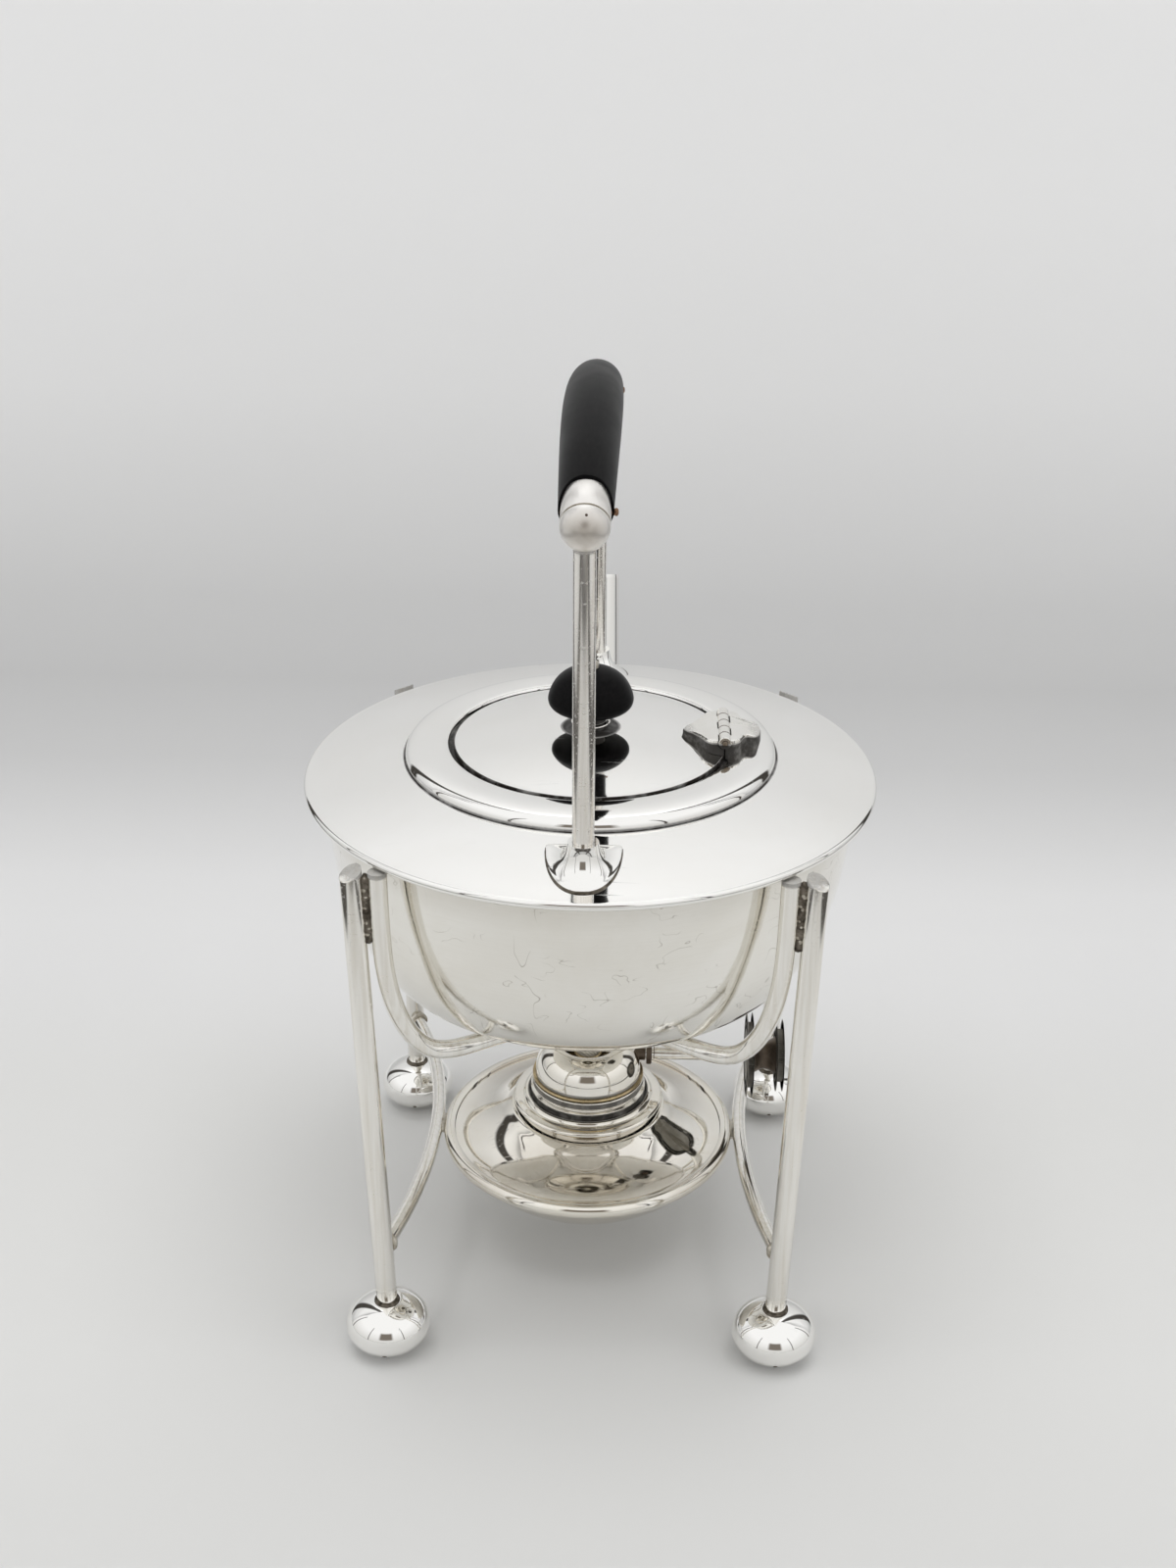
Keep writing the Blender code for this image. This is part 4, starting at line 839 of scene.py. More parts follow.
def makeFerrule(endName, end):
    radius = ferruleSizes["radius"]
    groove = ferruleSizes["groove"]
    neck = [(radius - 0.05, 1.6), (radius - groove, 1.15), (radius - groove, 0.85)]
    nose = arcPoints((0, 0), radius, 0, -88, 24) + [(0, -radius)]
    far = ferruleSizes["length"] + 2
    barrel = layAlongGrip(spinProfile("ferrule", [(0, far), (radius - 0.05, far)] + neck + nose, 96), end)
    carve(barrel, ovalColumn("scallop", end, 0), "INTERSECT")
    softenEdges(barrel, ferruleSizes["edgeRound"], 3, 50)
    dress(barrel, "ferrule" + endName, satinSilver, "kettle",
          ["ferrule_" + endName.lower()], 40)

    inner, outer = radius - 0.5, radius - 0.06
    line = layAlongGrip(spinProfile("ferruleLine", [(inner, 0.90), (outer, 0.92), (outer, 1.08),
                                                    (inner, 1.10)], 96, True), end)
    dress(line, "ferruleLine" + endName, solderSilver, "kettle", (), 60)

    # a dark bead on each ferrule's ball stands for a small pit: painted shade of the pit
    angle = math.radians(ferruleSizes["dotAngle"])
    reach = radius - 0.12
    deselect()
    bpy.ops.mesh.primitive_uv_sphere_add(
        segments=20, ring_count=12, radius=ferruleSizes["dotRadius"] * mm,
        location=Vector((0.5, kettleY + end * (handleSizes["reach"] + reach * math.cos(angle)),
                         handleSizes["axis"] + reach * math.sin(angle))) * mm)
    dress(bpy.context.object, "ferrulePit" + endName, darkBrassAndShade, "kettle", (), 60)


def makeGrip():
    route = []
    radii = []
    for step in range(25):
        share = 2 * step / 24 - 1
        along = gripSizes["half"] * share
        route.append((0, kettleY + along, archHeight(along)))
        swell = math.cos(quarterTurn * share)
        thick = gripSizes["endRadius"] + (gripSizes["midRadius"] - gripSizes["endRadius"]) * swell
        radii.append(thick / gripSizes["midRadius"])
    grip = sweepBar("handleGrip", route, gripSizes["midRadius"], radii, roundness=20, resolution=4)
    for end in (-1, 1):
        carve(grip, ovalColumn("gripEnd", end, 0.12))
    softenEdges(grip, gripSizes["edgeRound"], 4, 50)
    dress(grip, "handleGrip", ebonisedWood, "kettle", ["handle_grip"], 40)


def makeGripPin(endName, end):
    # a rivet right through grip and ferrule, filed flush on the left and left proud on the right
    low = gripSizes["pinLeft"]
    high = gripSizes["pinRight"]
    radius = gripSizes["pinRadius"]
    profile = [(0, high), (radius * 0.5, high - 0.05), (radius * 0.84, high - 0.28),
               (radius * 0.98, high - 0.7), (radius * 0.8, high - 1.15), (radius * 0.8, low + 0.2),
               (radius * 0.7, low), (0, low)]
    pin = spinProfile("gripPin", profile, 32)
    movePiece(pin, 0, kettleY + end * gripSizes["pinAlong"],
              archHeight(gripSizes["pinAlong"]) - gripSizes["pinDrop"], (0, quarterTurn, 0))
    dress(pin, "gripPin" + endName, copperRivet, "kettle",
          ["grip_pin_" + endName.lower()], 60)


makeBowl()
makeSpout()
makeShoulder()
makeMoulding()
makeGrip()
for endName, end in ends:
    makePostFoot(endName, end)
    makePost(endName, end)
    makeFerrule(endName, end)
    makeGripPin(endName, end)
print("kettle and handle made")


knobSizes = {"base": 205.212, "height": 14.7, "radius": 14.1, "stem": 6.6, "stud": 1.8, "seat": 2.9,
             "shares": [(0.30, 0.985), (0.45, 0.945), (0.62, 0.865), (0.77, 0.75), (0.88, 0.61),
                        (0.955, 0.46), (0.995, 0.33), (1.0, 0.26), (0.975, 0.165), (0.90, 0.085),
                        (0.78, 0.035), (0.62, 0.008)]}
collarSizes = {"base": 199.35, "top": 204.912, "radius": 4.7, "flange": 6.5, "flangeLow": 200.6,
               "flangeTop": 201.5}
nutSizes = {"base": 220.212, "height": 2.6, "radius": 2.6,
            "shares": [(0, 1.0), (0.3, 0.985), (0.58, 0.90), (0.82, 0.72), (0.95, 0.5), (1.0, 0.3),
                       (1.0, 0.0), (0, 0)]}
studSizes = {"tip": 220.1, "shoulder": 197.9, "radius": 1.5, "headRadius": 3.4, "headHeight": 1.4}


def makeLid():
    bore = lidSizes["bore"]
    edge = lidSizes["radius"] - lidSizes["edgeRound"]
    topSide = surfaceLine(lidHeight, bore, edge, 24)
    lip = arcPoints((edge, lidHeight(edge) - lidSizes["edgeRound"]), lidSizes["edgeRound"], 80, 0, 5)
    skirt = lidSizes["skirtRadius"]
    low = lidSizes["seat"] - lidSizes["skirtDepth"]
    side = [(lidSizes["radius"], lidSizes["seat"]), (skirt, lidSizes["seat"]), (skirt, low),
            (skirt - lidSizes["wall"], low)]
    underSide = surfaceLine(lidHeight, skirt - lidSizes["wall"], bore, 12, -lidSizes["wall"])
    turnedPiece("lid", "lid", topSide + lip + side + underSide, 192, True, lidSilver, "lid_group")


def makeKnob():
    bore = knobSizes["stud"]
    side = smoothPoints([(knobSizes["radius"] * a, knobSizes["base"] + knobSizes["height"] * b)
                         for a, b in knobSizes["shares"]], 4)
    top = knobSizes["base"] + knobSizes["height"]
    under = [(knobSizes["stem"], knobSizes["base"]), (bore, knobSizes["base"])]
    turnedPiece("lidKnob", "lid_knob", [(bore, top), (knobSizes["seat"], top)] + side + under, 128, True,
                ebonisedWood, "lid_group")

    s = collarSizes
    rim = (s["flangeLow"] + s["flangeTop"]) / 2
    collar = [(bore, s["top"]), (s["radius"] + 0.5, s["top"]), (s["radius"], s["top"] - 0.8),
              (s["radius"], s["flangeTop"] + 0.5), (s["radius"] + 0.5, s["flangeTop"]),
              (s["flange"] - 0.25, s["flangeTop"]), (s["flange"], rim),
              (s["flange"] - 0.25, s["flangeLow"]), (s["radius"] + 0.8, s["flangeLow"] - 0.3),
              (s["radius"] + 0.8, s["base"]), (bore, s["base"])]
    turnedPiece("knobCollar", "knob_collar", collar, 96, True, collarSilver, "lid_group", soft=(0.15, 2))

    cap = [(nutSizes["radius"] * a, nutSizes["base"] + nutSizes["height"] * b)
           for a, b in nutSizes["shares"]]
    turnedPiece("knobNut", "knob_nut", cap, 48, False, solderSilver, "lid_group", smoothAngle=50)

    under = studSizes["shoulder"]
    head = studSizes["headRadius"]
    low = under - studSizes["headHeight"]
    stud = [(0, studSizes["tip"]), (studSizes["radius"], studSizes["tip"]), (studSizes["radius"], under),
            (head - 0.2, under), (head, under - 0.3), (head, low + 0.3), (head - 0.3, low), (0, low)]
    turnedPiece("knobStud", "knob_stud", stud, 40, False, polishedSilver, "lid_group", smoothAngle=40)


hingeSizes = {"across": 44.0, "height": 199.312, "top": 200.212, "length": 26.0, "knuckles": 5,
              "barrel": 2.1, "gap": 0.3, "halfWidth": 12.2, "lidReach": 13.6, "bodyReach": 12.2,
              "pin": 0.9, "edgeRound": 0.35, "leafFall": 1.5, "fallFrom": 4, "fallPower": 1.6,
              "line": 0.16, "lineProud": 0.02,
              "ogee": [(0.012, 1.0), (0.30, 1.0), (0.42, 0.90), (0.56, 0.62), (0.74, 0.34),
                       (0.90, 0.18), (1.0, 0.0)],
              "lobe": [(0.012, 1.0), (0.26, 1.0), (0.40, 0.86), (0.50, 0.60), (0.62, 0.50),
                       (0.80, 0.52), (0.93, 0.36), (1.0, 0.0)]}


def hingePlate(name, side, reach, shares):
    # a many-sided disc whose rim is moved to the leaf's outline, then extruded down
    curveShares = [list(shares[0])] + smoothPoints(shares[1:], 6)
    upper = [(hingeSizes["across"] + side * reach * a, hingeSizes["halfWidth"] * b) for a, b in curveShares]
    outline = upper + [(x, -y) for x, y in upper[::-1] if y > 0]
    deselect()
    bpy.ops.mesh.primitive_circle_add(vertices=len(outline), radius=mm, fill_type="NGON")
    leaf = bpy.context.object
    leaf.name = name
    for vertex, (x, y) in zip(leaf.data.vertices, outline):
        vertex.co = Vector((x, kettleY + y, hingeSizes["top"])) * mm
    startEdit()
    bpy.ops.mesh.extrude_region_move(
        TRANSFORM_OT_translate={"value": (0, 0, (lidSizes["seat"] - hingeSizes["top"]) * mm)})
    finishEdit()
    return leaf


def hingeBarrel(name, index, grow, stretch):
    pitch = hingeSizes["length"] / hingeSizes["knuckles"]
    low = -hingeSizes["length"] / 2 + index * pitch + hingeSizes["gap"] / 2 - stretch
    high = low + pitch - hingeSizes["gap"] + 2 * stretch
    return addRod(name, (hingeSizes["across"], kettleY + low, hingeSizes["height"]),
                  (hingeSizes["across"], kettleY + high, hingeSizes["height"]),
                  hingeSizes["barrel"] + grow, vertices=40)


def lidRoom(name):
    # the space that the lid takes up, cut out of the leaves
    topSide = surfaceLine(lidHeight, 0, lidSizes["radius"], 20, 0.12)
    low = lidSizes["seat"] - 2
    out = lidSizes["radius"] + 0.2
    return movePiece(spinProfile(name, topSide + [(out, lidSizes["edge"]), (out, low), (0, low)], 144),
                     0, kettleY, 0)


def mouldingRoom(name):
    # the space that the moulding takes up
    width = mouldingSizes["outer"] - mouldingSizes["inner"]
    base = domeHeight(mouldingSizes["outer"]) + mouldingSizes["gap"]
    crest = smoothPoints([(mouldingSizes["inner"] + width * a + 0.24 * (a - 0.5),
                           base + (mouldingSizes["height"] - 0.3) * b + 0.12)
                          for a, b in mouldingSizes["shares"]], 4)
    low = lidSizes["seat"] - 2
    return movePiece(spinProfile(name, crest + [(crest[-1][0], low), (crest[0][0], low)], 144, True),
                     0, kettleY, 0)


def makeHingeLeaf(name, side, reach, shares, own, others, rooms, body, node):
    leaf = hingePlate(name, side, reach, shares)
    softenEdges(leaf, hingeSizes["edgeRound"], 3, 40)
    for index in others:
        carve(leaf, hingeBarrel("knuckleRoom", index, 0.3, hingeSizes["gap"]))
    for room in rooms:
        carve(leaf, room)
    for index in own:
        knuckle = hingeBarrel("knuckle", index, 0, 0)
        softenEdges(knuckle, 0.25, 3, 40)
        carve(leaf, knuckle, "UNION")
    start = hingeSizes["fallFrom"]
    for vertex in leaf.data.vertices:  # the leaf falls away from its knuckles
        out = (side * (vertex.co.x / mm - hingeSizes["across"]) - start) / (reach - start)
        if out > 0:
            vertex.co.z -= hingeSizes["leafFall"] * out ** hingeSizes["fallPower"] * mm
    half = hingeSizes["length"] / 2 + 2
    bore = addRod("pinBore", (hingeSizes["across"], kettleY - half, hingeSizes["height"]),
                  (hingeSizes["across"], kettleY + half, hingeSizes["height"]),
                  hingeSizes["pin"] + 0.15, vertices=32)
    carve(leaf, bore)
    dress(leaf, name, hingeSilver, body, [node], 14)


def makeHinge():
    bodyKnuckles = [0, 2, 4]
    lidKnuckles = [1, 3]
    makeHingeLeaf("hingeLeafLid", -1, hingeSizes["lidReach"], hingeSizes["ogee"], lidKnuckles,
                  bodyKnuckles, [lidRoom("lidRoom")], "lid_group", "hinge_leaf_lid")
    makeHingeLeaf("hingeLeafBody", 1, hingeSizes["bodyReach"], hingeSizes["lobe"], bodyKnuckles,
                  lidKnuckles, [lidRoom("lidRoom"), mouldingRoom("mouldingRoom")], "kettle",
                  "hinge_leaf_body")
    # dark rings over the gaps between knuckles: painted shade of the gaps
    pitch = hingeSizes["length"] / hingeSizes["knuckles"]
    for index in range(1, hingeSizes["knuckles"]):
        spot = kettleY - hingeSizes["length"] / 2 + index * pitch
        fore, aft = spot - hingeSizes["line"], spot + hingeSizes["line"]
        line = addRod("knuckleLine", (hingeSizes["across"], fore, hingeSizes["height"]),
                      (hingeSizes["across"], aft, hingeSizes["height"]),
                      hingeSizes["barrel"] + hingeSizes["lineProud"], vertices=40)
        dress(line, "knuckleLine%d" % index, darkBrassAndShade, "kettle", (), 60)
    half = hingeSizes["length"] / 2 + 0.5
    dome = [(0, half), (0.5, half - 0.05), (0.8, half - 0.25), (hingeSizes["pin"], half - 0.5)]
    pin = spinProfile("hingePin", dome + [(r, -z) for r, z in dome[::-1]], 32)
    movePiece(pin, hingeSizes["across"], kettleY, hingeSizes["height"], (quarterTurn, 0, 0))
    dress(pin, "hingePin", darkBrassAndShade, "kettle", ["hinge_pin"], 60)


makeLid()
makeKnob()
makeHinge()
print("lid, knob and hinge made")


standSizes = {"legRadius": 3.5, "topAcross": 70.812, "topAlong": 71.012, "leanFront": 6.0,
              "leanRear": -0.4, "leanAlong": -1.6, "legHeight": 182.09, "cutDrop": 3.6,
              "bowRadius": 2.5, "bowHeight": 39.7, "rearRise": 2.2}
footSizes = {"radius": 14.2, "height": 18.5, "flat": 5.0, "socket": 3.8, "socketDepth": 5.5,
             "ventRadius": 0.8, "ventHeight": 4.5, "ventDepth": 3.0}


def legPlace(side, end, height):
    below = 1 - height / standSizes["legHeight"]
    lean = standSizes["leanFront"] if end < 0 else standSizes["leanRear"]
    return Vector((side * (standSizes["topAcross"] - lean * below),
                   kettleY + end * (standSizes["topAlong"] - standSizes["leanAlong"] * below), height))


def makeLeg(sideName, side, endName, end):
    low = legPlace(side, end, footSizes["height"] - footSizes["socketDepth"] + 0.3)
    topHeight = standSizes["legHeight"] + (standSizes["rearRise"] if end > 0 else 0)
    high = legPlace(side, end, topHeight)
    leg = addRod("leg", low, high, standSizes["legRadius"], vertices=56)
    outward = Vector((side, end, 0)).normalized()
    tilt = math.atan2(standSizes["cutDrop"], standSizes["legRadius"] * 2)
    normal = (outward * math.sin(tilt) + Vector((0, 0, math.cos(tilt)))).normalized()
    cutPoint = legPlace(side, end, topHeight - standSizes["cutDrop"] / 2)
    pick(leg)
    startEdit()
    bpy.ops.mesh.bisect(plane_co=cutPoint * mm, plane_no=normal, use_fill=True, clear_outer=True)
    finishEdit()
    softenEdges(leg, 0.3, 3, 30)
    dress(leg, "leg" + endName + sideName, tubeSilver, "stand",
          ["leg_" + endName.lower() + "_" + sideName.lower()], 40)


def makeFoot(sideName, side, endName, end):
    middle = footSizes["height"] / 2
    startAngle = math.acos((footSizes["socket"] + 0.9) / footSizes["radius"])
    stopAngle = math.acos(footSizes["flat"] / footSizes["radius"])
    flank = []
    for step in range(41):
        angle = startAngle - (stopAngle + startAngle) * step / 40
        squash = math.sin(stopAngle if angle < 0 else startAngle)
        flank.append((footSizes["radius"] * math.cos(angle), middle + middle * math.sin(angle) / squash))
    floorOfSocket = footSizes["height"] - footSizes["socketDepth"]
    bore = footSizes["socket"] - 0.25
    socket = [(0, floorOfSocket), (bore, floorOfSocket), (bore, footSizes["height"] - 0.25),
              (footSizes["socket"] + 0.1, footSizes["height"] - 0.02)]
    foot = spinProfile("foot", socket + flank + [(0, 0)], 96)
    base = legPlace(side, end, footSizes["height"] - footSizes["socketDepth"] / 2)
    movePiece(foot, base.x, base.y, 0)
    front = base.y - footSizes["radius"]
    vent = addRod("vent", (base.x, front - 2, footSizes["ventHeight"]),
                  (base.x, front + footSizes["ventDepth"] + 1, footSizes["ventHeight"]),
                  footSizes["ventRadius"], vertices=24)
    carve(foot, vent)
    dress(foot, "foot" + endName + sideName, polishedSilver, "stand",
          ["foot_" + endName.lower() + "_" + sideName.lower()], 40)


# half a bar from a leg's top to the middle: across, along and height
barSizes = {"radius": 3.0, "relax": 14,
            "route": [(62.6, 71.0, 180.79), (62.45, 71.1, 168.0), (62.25, 71.1, 158.0),
                      (61.9, 71.1, 150.0), (61.1, 70.6, 142.0), (59.8, 69.5, 134.0),
                      (57.7, 67.5, 126.0), (55.4, 65.4, 120.0), (52.6, 63.4, 115.2),
                      (49.6, 62.2, 112.3), (46.6, 61.2, 110.9), (42.0, 59.6, 110.4),
                      (36.0, 56.5, 110.6), (29.0, 52.0, 111.1), (22.0, 48.0, 111.2),
                      (14.5, 45.0, 111.2), (0.0, 43.0, 111.2)]}


def barRoute(end):
    left = [(-x, kettleY + end * y, z) for x, y, z in barSizes["route"][:-1]]
    right = [(x, kettleY + end * y, z) for x, y, z in barSizes["route"]]
    return left + right[::-1]


def barAcross(height):
    # how far out a bar stands at a height
    route = barSizes["route"]
    for here, below in zip(route, route[1:]):
        if height >= below[2]:
            return here[0] + (below[0] - here[0]) * (here[2] - height) / (here[2] - below[2])
    return route[-1][0]


def relaxRoute(route, rounds):
    # evens out the bends of a route and keeps its ends
    line = [Vector(point) for point in route]
    for step in range(rounds):
        moved = [here.lerp((before + after) / 2, 0.5)
                 for before, here, after in zip(line, line[1:], line[2:])]
        line = [line[0]] + moved + [line[-1]]
    return [tuple(point) for point in line]


def makeCradleBar(endName, end):
    route = relaxRoute(smoothPoints(barRoute(end), 3), barSizes["relax"])
    bar = sweepBar("cradleBar", route, barSizes["radius"], roundness=12, resolution=3)
    softenEdges(bar, 0.3, 3, 50)
    dress(bar, "cradleBar" + endName, tubeSilver, "stand",
          ["cradle_bar_" + endName.lower()], 40)


bowSizes = {"touch": 55.2, "steps": 8}


def bowRoute(side):
    # two arcs in plan that meet where they touch the lamp's rim
    halves = []
    for end in (-1, 1):
        place = legPlace(side, end, standSizes["bowHeight"])
        reach = abs(place.y - kettleY)
        sagitta = abs(place.x) - bowSizes["touch"]
        sweep = (reach ** 2 + sagitta ** 2) / (2 * sagitta)
        half = []
        for step in range(bowSizes["steps"] + 1):
            angle = math.asin(reach / sweep) * step / bowSizes["steps"]
            half.append((side * (bowSizes["touch"] + sweep - sweep * math.cos(angle)),
                         kettleY + end * sweep * math.sin(angle), standSizes["bowHeight"]))
        halves.append(half)
    return halves[0][::-1] + halves[1][1:]


def makeSideBow(sideName, side):
    bow = sweepBar("sideBow", bowRoute(side), standSizes["bowRadius"], roundness=10, resolution=4)
    for end in (-1, 1):
        reach = standSizes["bowRadius"] + 2
        saddle = addRod("saddle", legPlace(side, end, standSizes["bowHeight"] - reach),
                        legPlace(side, end, standSizes["bowHeight"] + reach),
                        standSizes["legRadius"] + 0.02, vertices=56)
        carve(bow, saddle)
    dress(bow, "sideBow" + sideName, tubeSilver, "stand", ["side_bow_" + sideName.lower()], 40)


solderSizes = {"seamTop": 180.1, "seamFoot": 156.0, "seamSteps": 26, "seam": 1.4, "beads": 11,
               "lump": 0.28, "beadLow": 0.42, "beadSpread": 0.26, "beadOut": 0.95,
               "bowRing": 2.75, "bowWire": 0.95, "footRing": 3.75, "footWire": 0.55,
               "rimBead": 1.7, "rimLength": 5.5, "rimShares": [0.3, 0.75, 1.0, 1.08, 1.0, 0.8, 0.3]}


def ventReach():
    # how far the foot's side stands from its axis at the vent
    middle = footSizes["height"] / 2
    away = (middle - footSizes["ventHeight"]) / middle
    return footSizes["radius"] * math.sqrt(1 - away ** 2)


def lumpyShares(count, seed):
    # uneven thickness along a run of solder
    shares = []
    for index in range(count):
        wave = math.sin(index * 1.9 + seed) * math.cos(index * 0.83 + seed * 2.3)
        shares.append(1 + solderSizes["lump"] * wave)
    shares[0] = shares[-1] = 0.35
    return shares


def lumpyRing(name, radius, wire, squash, seed):
    deselect()
    bpy.ops.mesh.primitive_torus_add(major_segments=56, minor_segments=14, major_radius=radius * mm,
                                     minor_radius=wire * mm)
    ring = bpy.context.object
    ring.name = name
    for vertex in ring.data.vertices:
        angle = math.atan2(vertex.co.y, vertex.co.x)
        swell = 1 + 0.10 * math.sin(3 * angle + seed) + 0.07 * math.sin(7 * angle + seed * 1.7)
        vertex.co.z *= swell * squash
        flat = math.hypot(vertex.co.x, vertex.co.y)
        grown = radius * mm + (flat - radius * mm) * swell
        vertex.co.x *= grown / flat
        vertex.co.y *= grown / flat
    return ring


# a dark solder seam between leg and bar; its darkness is partly painted shade of the gap between them
def makeLegSeam(name, side, end, seed):
    steps = solderSizes["seamSteps"]
    route = []
    for step in range(steps + 1):
        height = solderSizes["seamTop"] + (solderSizes["seamFoot"] - solderSizes["seamTop"]) * step / steps
        place = legPlace(side, end, height)
        between = (abs(place.x) - standSizes["legRadius"] + barAcross(height) + barSizes["radius"]) / 2
        route.append((side * (between + 0.10 * math.sin(step * 2.2 + seed)), place.y, height))
    seam = sweepBar("legSolder", route, solderSizes["seam"], lumpyShares(steps + 1, seed), 6, 3)
    dress(seam, "legSolder" + name, darkSolderAndShade, "stand", (), 60)
    return route


def makeLegBeads(name, end, seed, route):
    # small lumps of solder along the seam
    beads = []
    for index in range(solderSizes["beads"]):
        point = route[2 + index * 2]
        size = solderSizes["beadLow"] + solderSizes["beadSpread"] * math.sin(index * 2.7 + seed) ** 2
        deselect()
        bpy.ops.mesh.primitive_uv_sphere_add(
            segments=20, ring_count=12, radius=size * mm,
            location=Vector((point[0] + 0.35 * math.sin(index * 4.1 + seed),
                             point[1] + end * solderSizes["beadOut"],
                             point[2] + 0.4 * math.cos(index * 3.3))) * mm)
        bead = bpy.context.object
        bead.scale = (1.0, 0.8, 1.0 + 0.6 * math.cos(index * 1.7 + seed) ** 2)
        beads.append(applyPlace(bead))
    dress(joinPieces(beads[0], beads[1:]), "legBeads" + name, solderSilver, "stand", (), 60)


def makeBowFillet(name, side, end, seed):
    bow = bowRoute(side)
    tip = Vector(bow[0] if end < 0 else bow[-1])
    inward = (Vector(bow[1] if end < 0 else bow[-2]) - tip).normalized()
    fillet = lumpyRing("bowSolder", solderSizes["bowRing"], solderSizes["bowWire"], 1.3, seed)
    spot = tip + inward * (standSizes["legRadius"] + 0.35)
    fillet.rotation_euler = inward.to_track_quat("Z", "Y").to_euler()
    fillet.location = spot * mm
    dress(fillet, "bowSolder" + name, solderSilver, "stand", (), 60)


def makeFootJoint(name, base, seed):
    darkEdge = lumpyRing("footJoint", solderSizes["footRing"], solderSizes["footWire"], 0.8, seed)
    darkEdge.location = Vector((base.x, base.y, footSizes["height"] + 0.1)) * mm
    dress(darkEdge, "footJoint" + name, darkSolderAndShade, "stand", (), 60)


def makeVentShade(name, base):
    front = base.y - footSizes["radius"]
    plug = addRod("ventShade", (base.x, front, footSizes["ventHeight"]),
                  (base.x, front + footSizes["ventDepth"] + 2.4, footSizes["ventHeight"]),
                  footSizes["ventRadius"] * 0.9, vertices=24)
    for vertex in plug.data.vertices:  # its face lies just inside the foot's own curve
        if vertex.co.y / mm < front + 1:
            vertex.co.y = (base.y - ventReach() + 0.5) * mm
    dress(plug, "ventShade" + name, darkBrassAndShade, "stand", (), 60)


def makeSolder(sideName, side, endName, end):
    seed = side * 1.3 + end * 2.1
    name = endName + sideName
    base = legPlace(side, end, footSizes["height"])
    route = makeLegSeam(name, side, end, seed)
    makeLegBeads(name, end, seed, route)
    makeBowFillet(name, side, end, seed)
    makeFootJoint(name, base, seed)
    makeVentShade(name, base)


def makeRimSolder(sideName, side):
    # where a side bow touches the lamp's rim
    shares = solderSizes["rimShares"]
    middle = len(shares) // 2
    route = []
    for index in range(len(shares)):
        along = solderSizes["rimLength"] * (index - middle) / middle
        route.append((side * (lampSizes["radius"] + 0.12 - along * along * 0.004), kettleY + along,
                      standSizes["bowHeight"]))
    bead = sweepBar("rimSolder", route, solderSizes["rimBead"], shares, 6, 4)
    dress(bead, "rimSolder" + sideName, solderSilver, "stand", (), 60)


for endName, end in ends:
    for sideName, side in sides:
        makeLeg(sideName, side, endName, end)
        makeFoot(sideName, side, endName, end)
        makeSolder(sideName, side, endName, end)
    makeCradleBar(endName, end)
for sideName, side in sides:
    makeSideBow(sideName, side)
print("stand made")


lampSizes = {"radius": 52.4, "bead": 2.7, "wall": 1.2, "rimHeight": 39.7, "depth": 23.7,
             "radiusShares": [0.0, 0.18, 0.35, 0.551, 0.70, 0.82, 0.90, 0.961],
             "dropShares": [1.0, 0.995, 0.966, 0.865, 0.705, 0.494, 0.316, 0.156],
             "wallShares": [1.0, 1.0, 1.0, 1.0, 0.9, 0.7, 0.5, 0.0]}
topSizes = {"edge": 41.185, "rise": 9.5, "hole": 20.9, "level": 27.2,
            "radiusShares": [0.0, 0.10, 0.20, 0.33, 0.46, 0.60, 0.76, 0.90, 1.0],
            "riseShares": [1.0, 0.84, 0.65, 0.45, 0.29, 0.16, 0.06, 0.01, 0.0]}
collarRingSizes = {"inner": 20.9, "outer": 26.9, "low": 50.75, "high": 56.485, "crest": 22.2,
                   "crestRound": 0.4, "edge": (25.6, 53.7), "edgeRound": 1.3,
                   "hollow": [(22.9, 55.7), (23.4, 55.35), (24.6, 55.2), (25.7, 55.0)]}


def makeReservoir():
    belly = lampSizes["radius"] - lampSizes["wall"]
    outer = []
    inner = []
    for a, b, c in zip(lampSizes["radiusShares"], lampSizes["dropShares"], lampSizes["wallShares"]):
        height = lampSizes["rimHeight"] - lampSizes["depth"] * b
        outer.append((belly * a, height))
        inner.append(((belly - lampSizes["wall"]) * a, height + lampSizes["wall"] * c))
    outside = smoothPoints(outer, 6)
    inside = smoothPoints(inner, 6)
    beadMiddle = lampSizes["radius"] - lampSizes["bead"]
    rim = lampSizes["rimHeight"]
    lip = beadMiddle - lampSizes["bead"] * 0.5
    bead = arcPoints((beadMiddle, rim), lampSizes["bead"], 120, -70, 22)
    neck = [(lip, rim - lampSizes["bead"])]
    turnedPiece("lampReservoir", "lamp_reservoir", inside + neck + bead + outside[::-1], 160, False,
                lampSilver, "stand", smoothAngle=50)


def makeLampTop():
    edge = lampSizes["radius"] - lampSizes["bead"] * 1.5 - 0.15
    height = topSizes["edge"] + topSizes["rise"]
    knots = [(topSizes["level"] + (edge - topSizes["level"]) * a, topSizes["edge"] + topSizes["rise"] * b)
             for a, b in zip(topSizes["radiusShares"], topSizes["riseShares"])]
    topSide = [(topSizes["hole"], height)] + smoothPoints(knots, 4)
    underSide = [(r, z - lampSizes["wall"]) for r, z in topSide[::-1]]
    turnedPiece("lampTop", "lamp_top", topSide + underSide, 160, True, lampSilver, "stand", smoothAngle=40)


def makeLampCollar():
    s = collarRingSizes
    profile = [(s["inner"], s["high"]), (s["crest"], s["high"])]
    profile += arcPoints((s["crest"], s["high"] - s["crestRound"]), s["crestRound"], 80, 10, 4)
    profile += smoothPoints(s["hollow"], 3)
    profile += arcPoints(s["edge"], s["edgeRound"], 80, 0, 8)
    profile += [(s["outer"], s["low"]), (s["inner"], s["low"])]
    turnedPiece("lampCollar", "lamp_collar", profile, 128, True, lampSilver, "stand", smoothAngle=40)


makeReservoir()
for sideName, side in sides:
    makeRimSolder(sideName, side)
makeLampTop()
makeLampCollar()
print("lamp made")


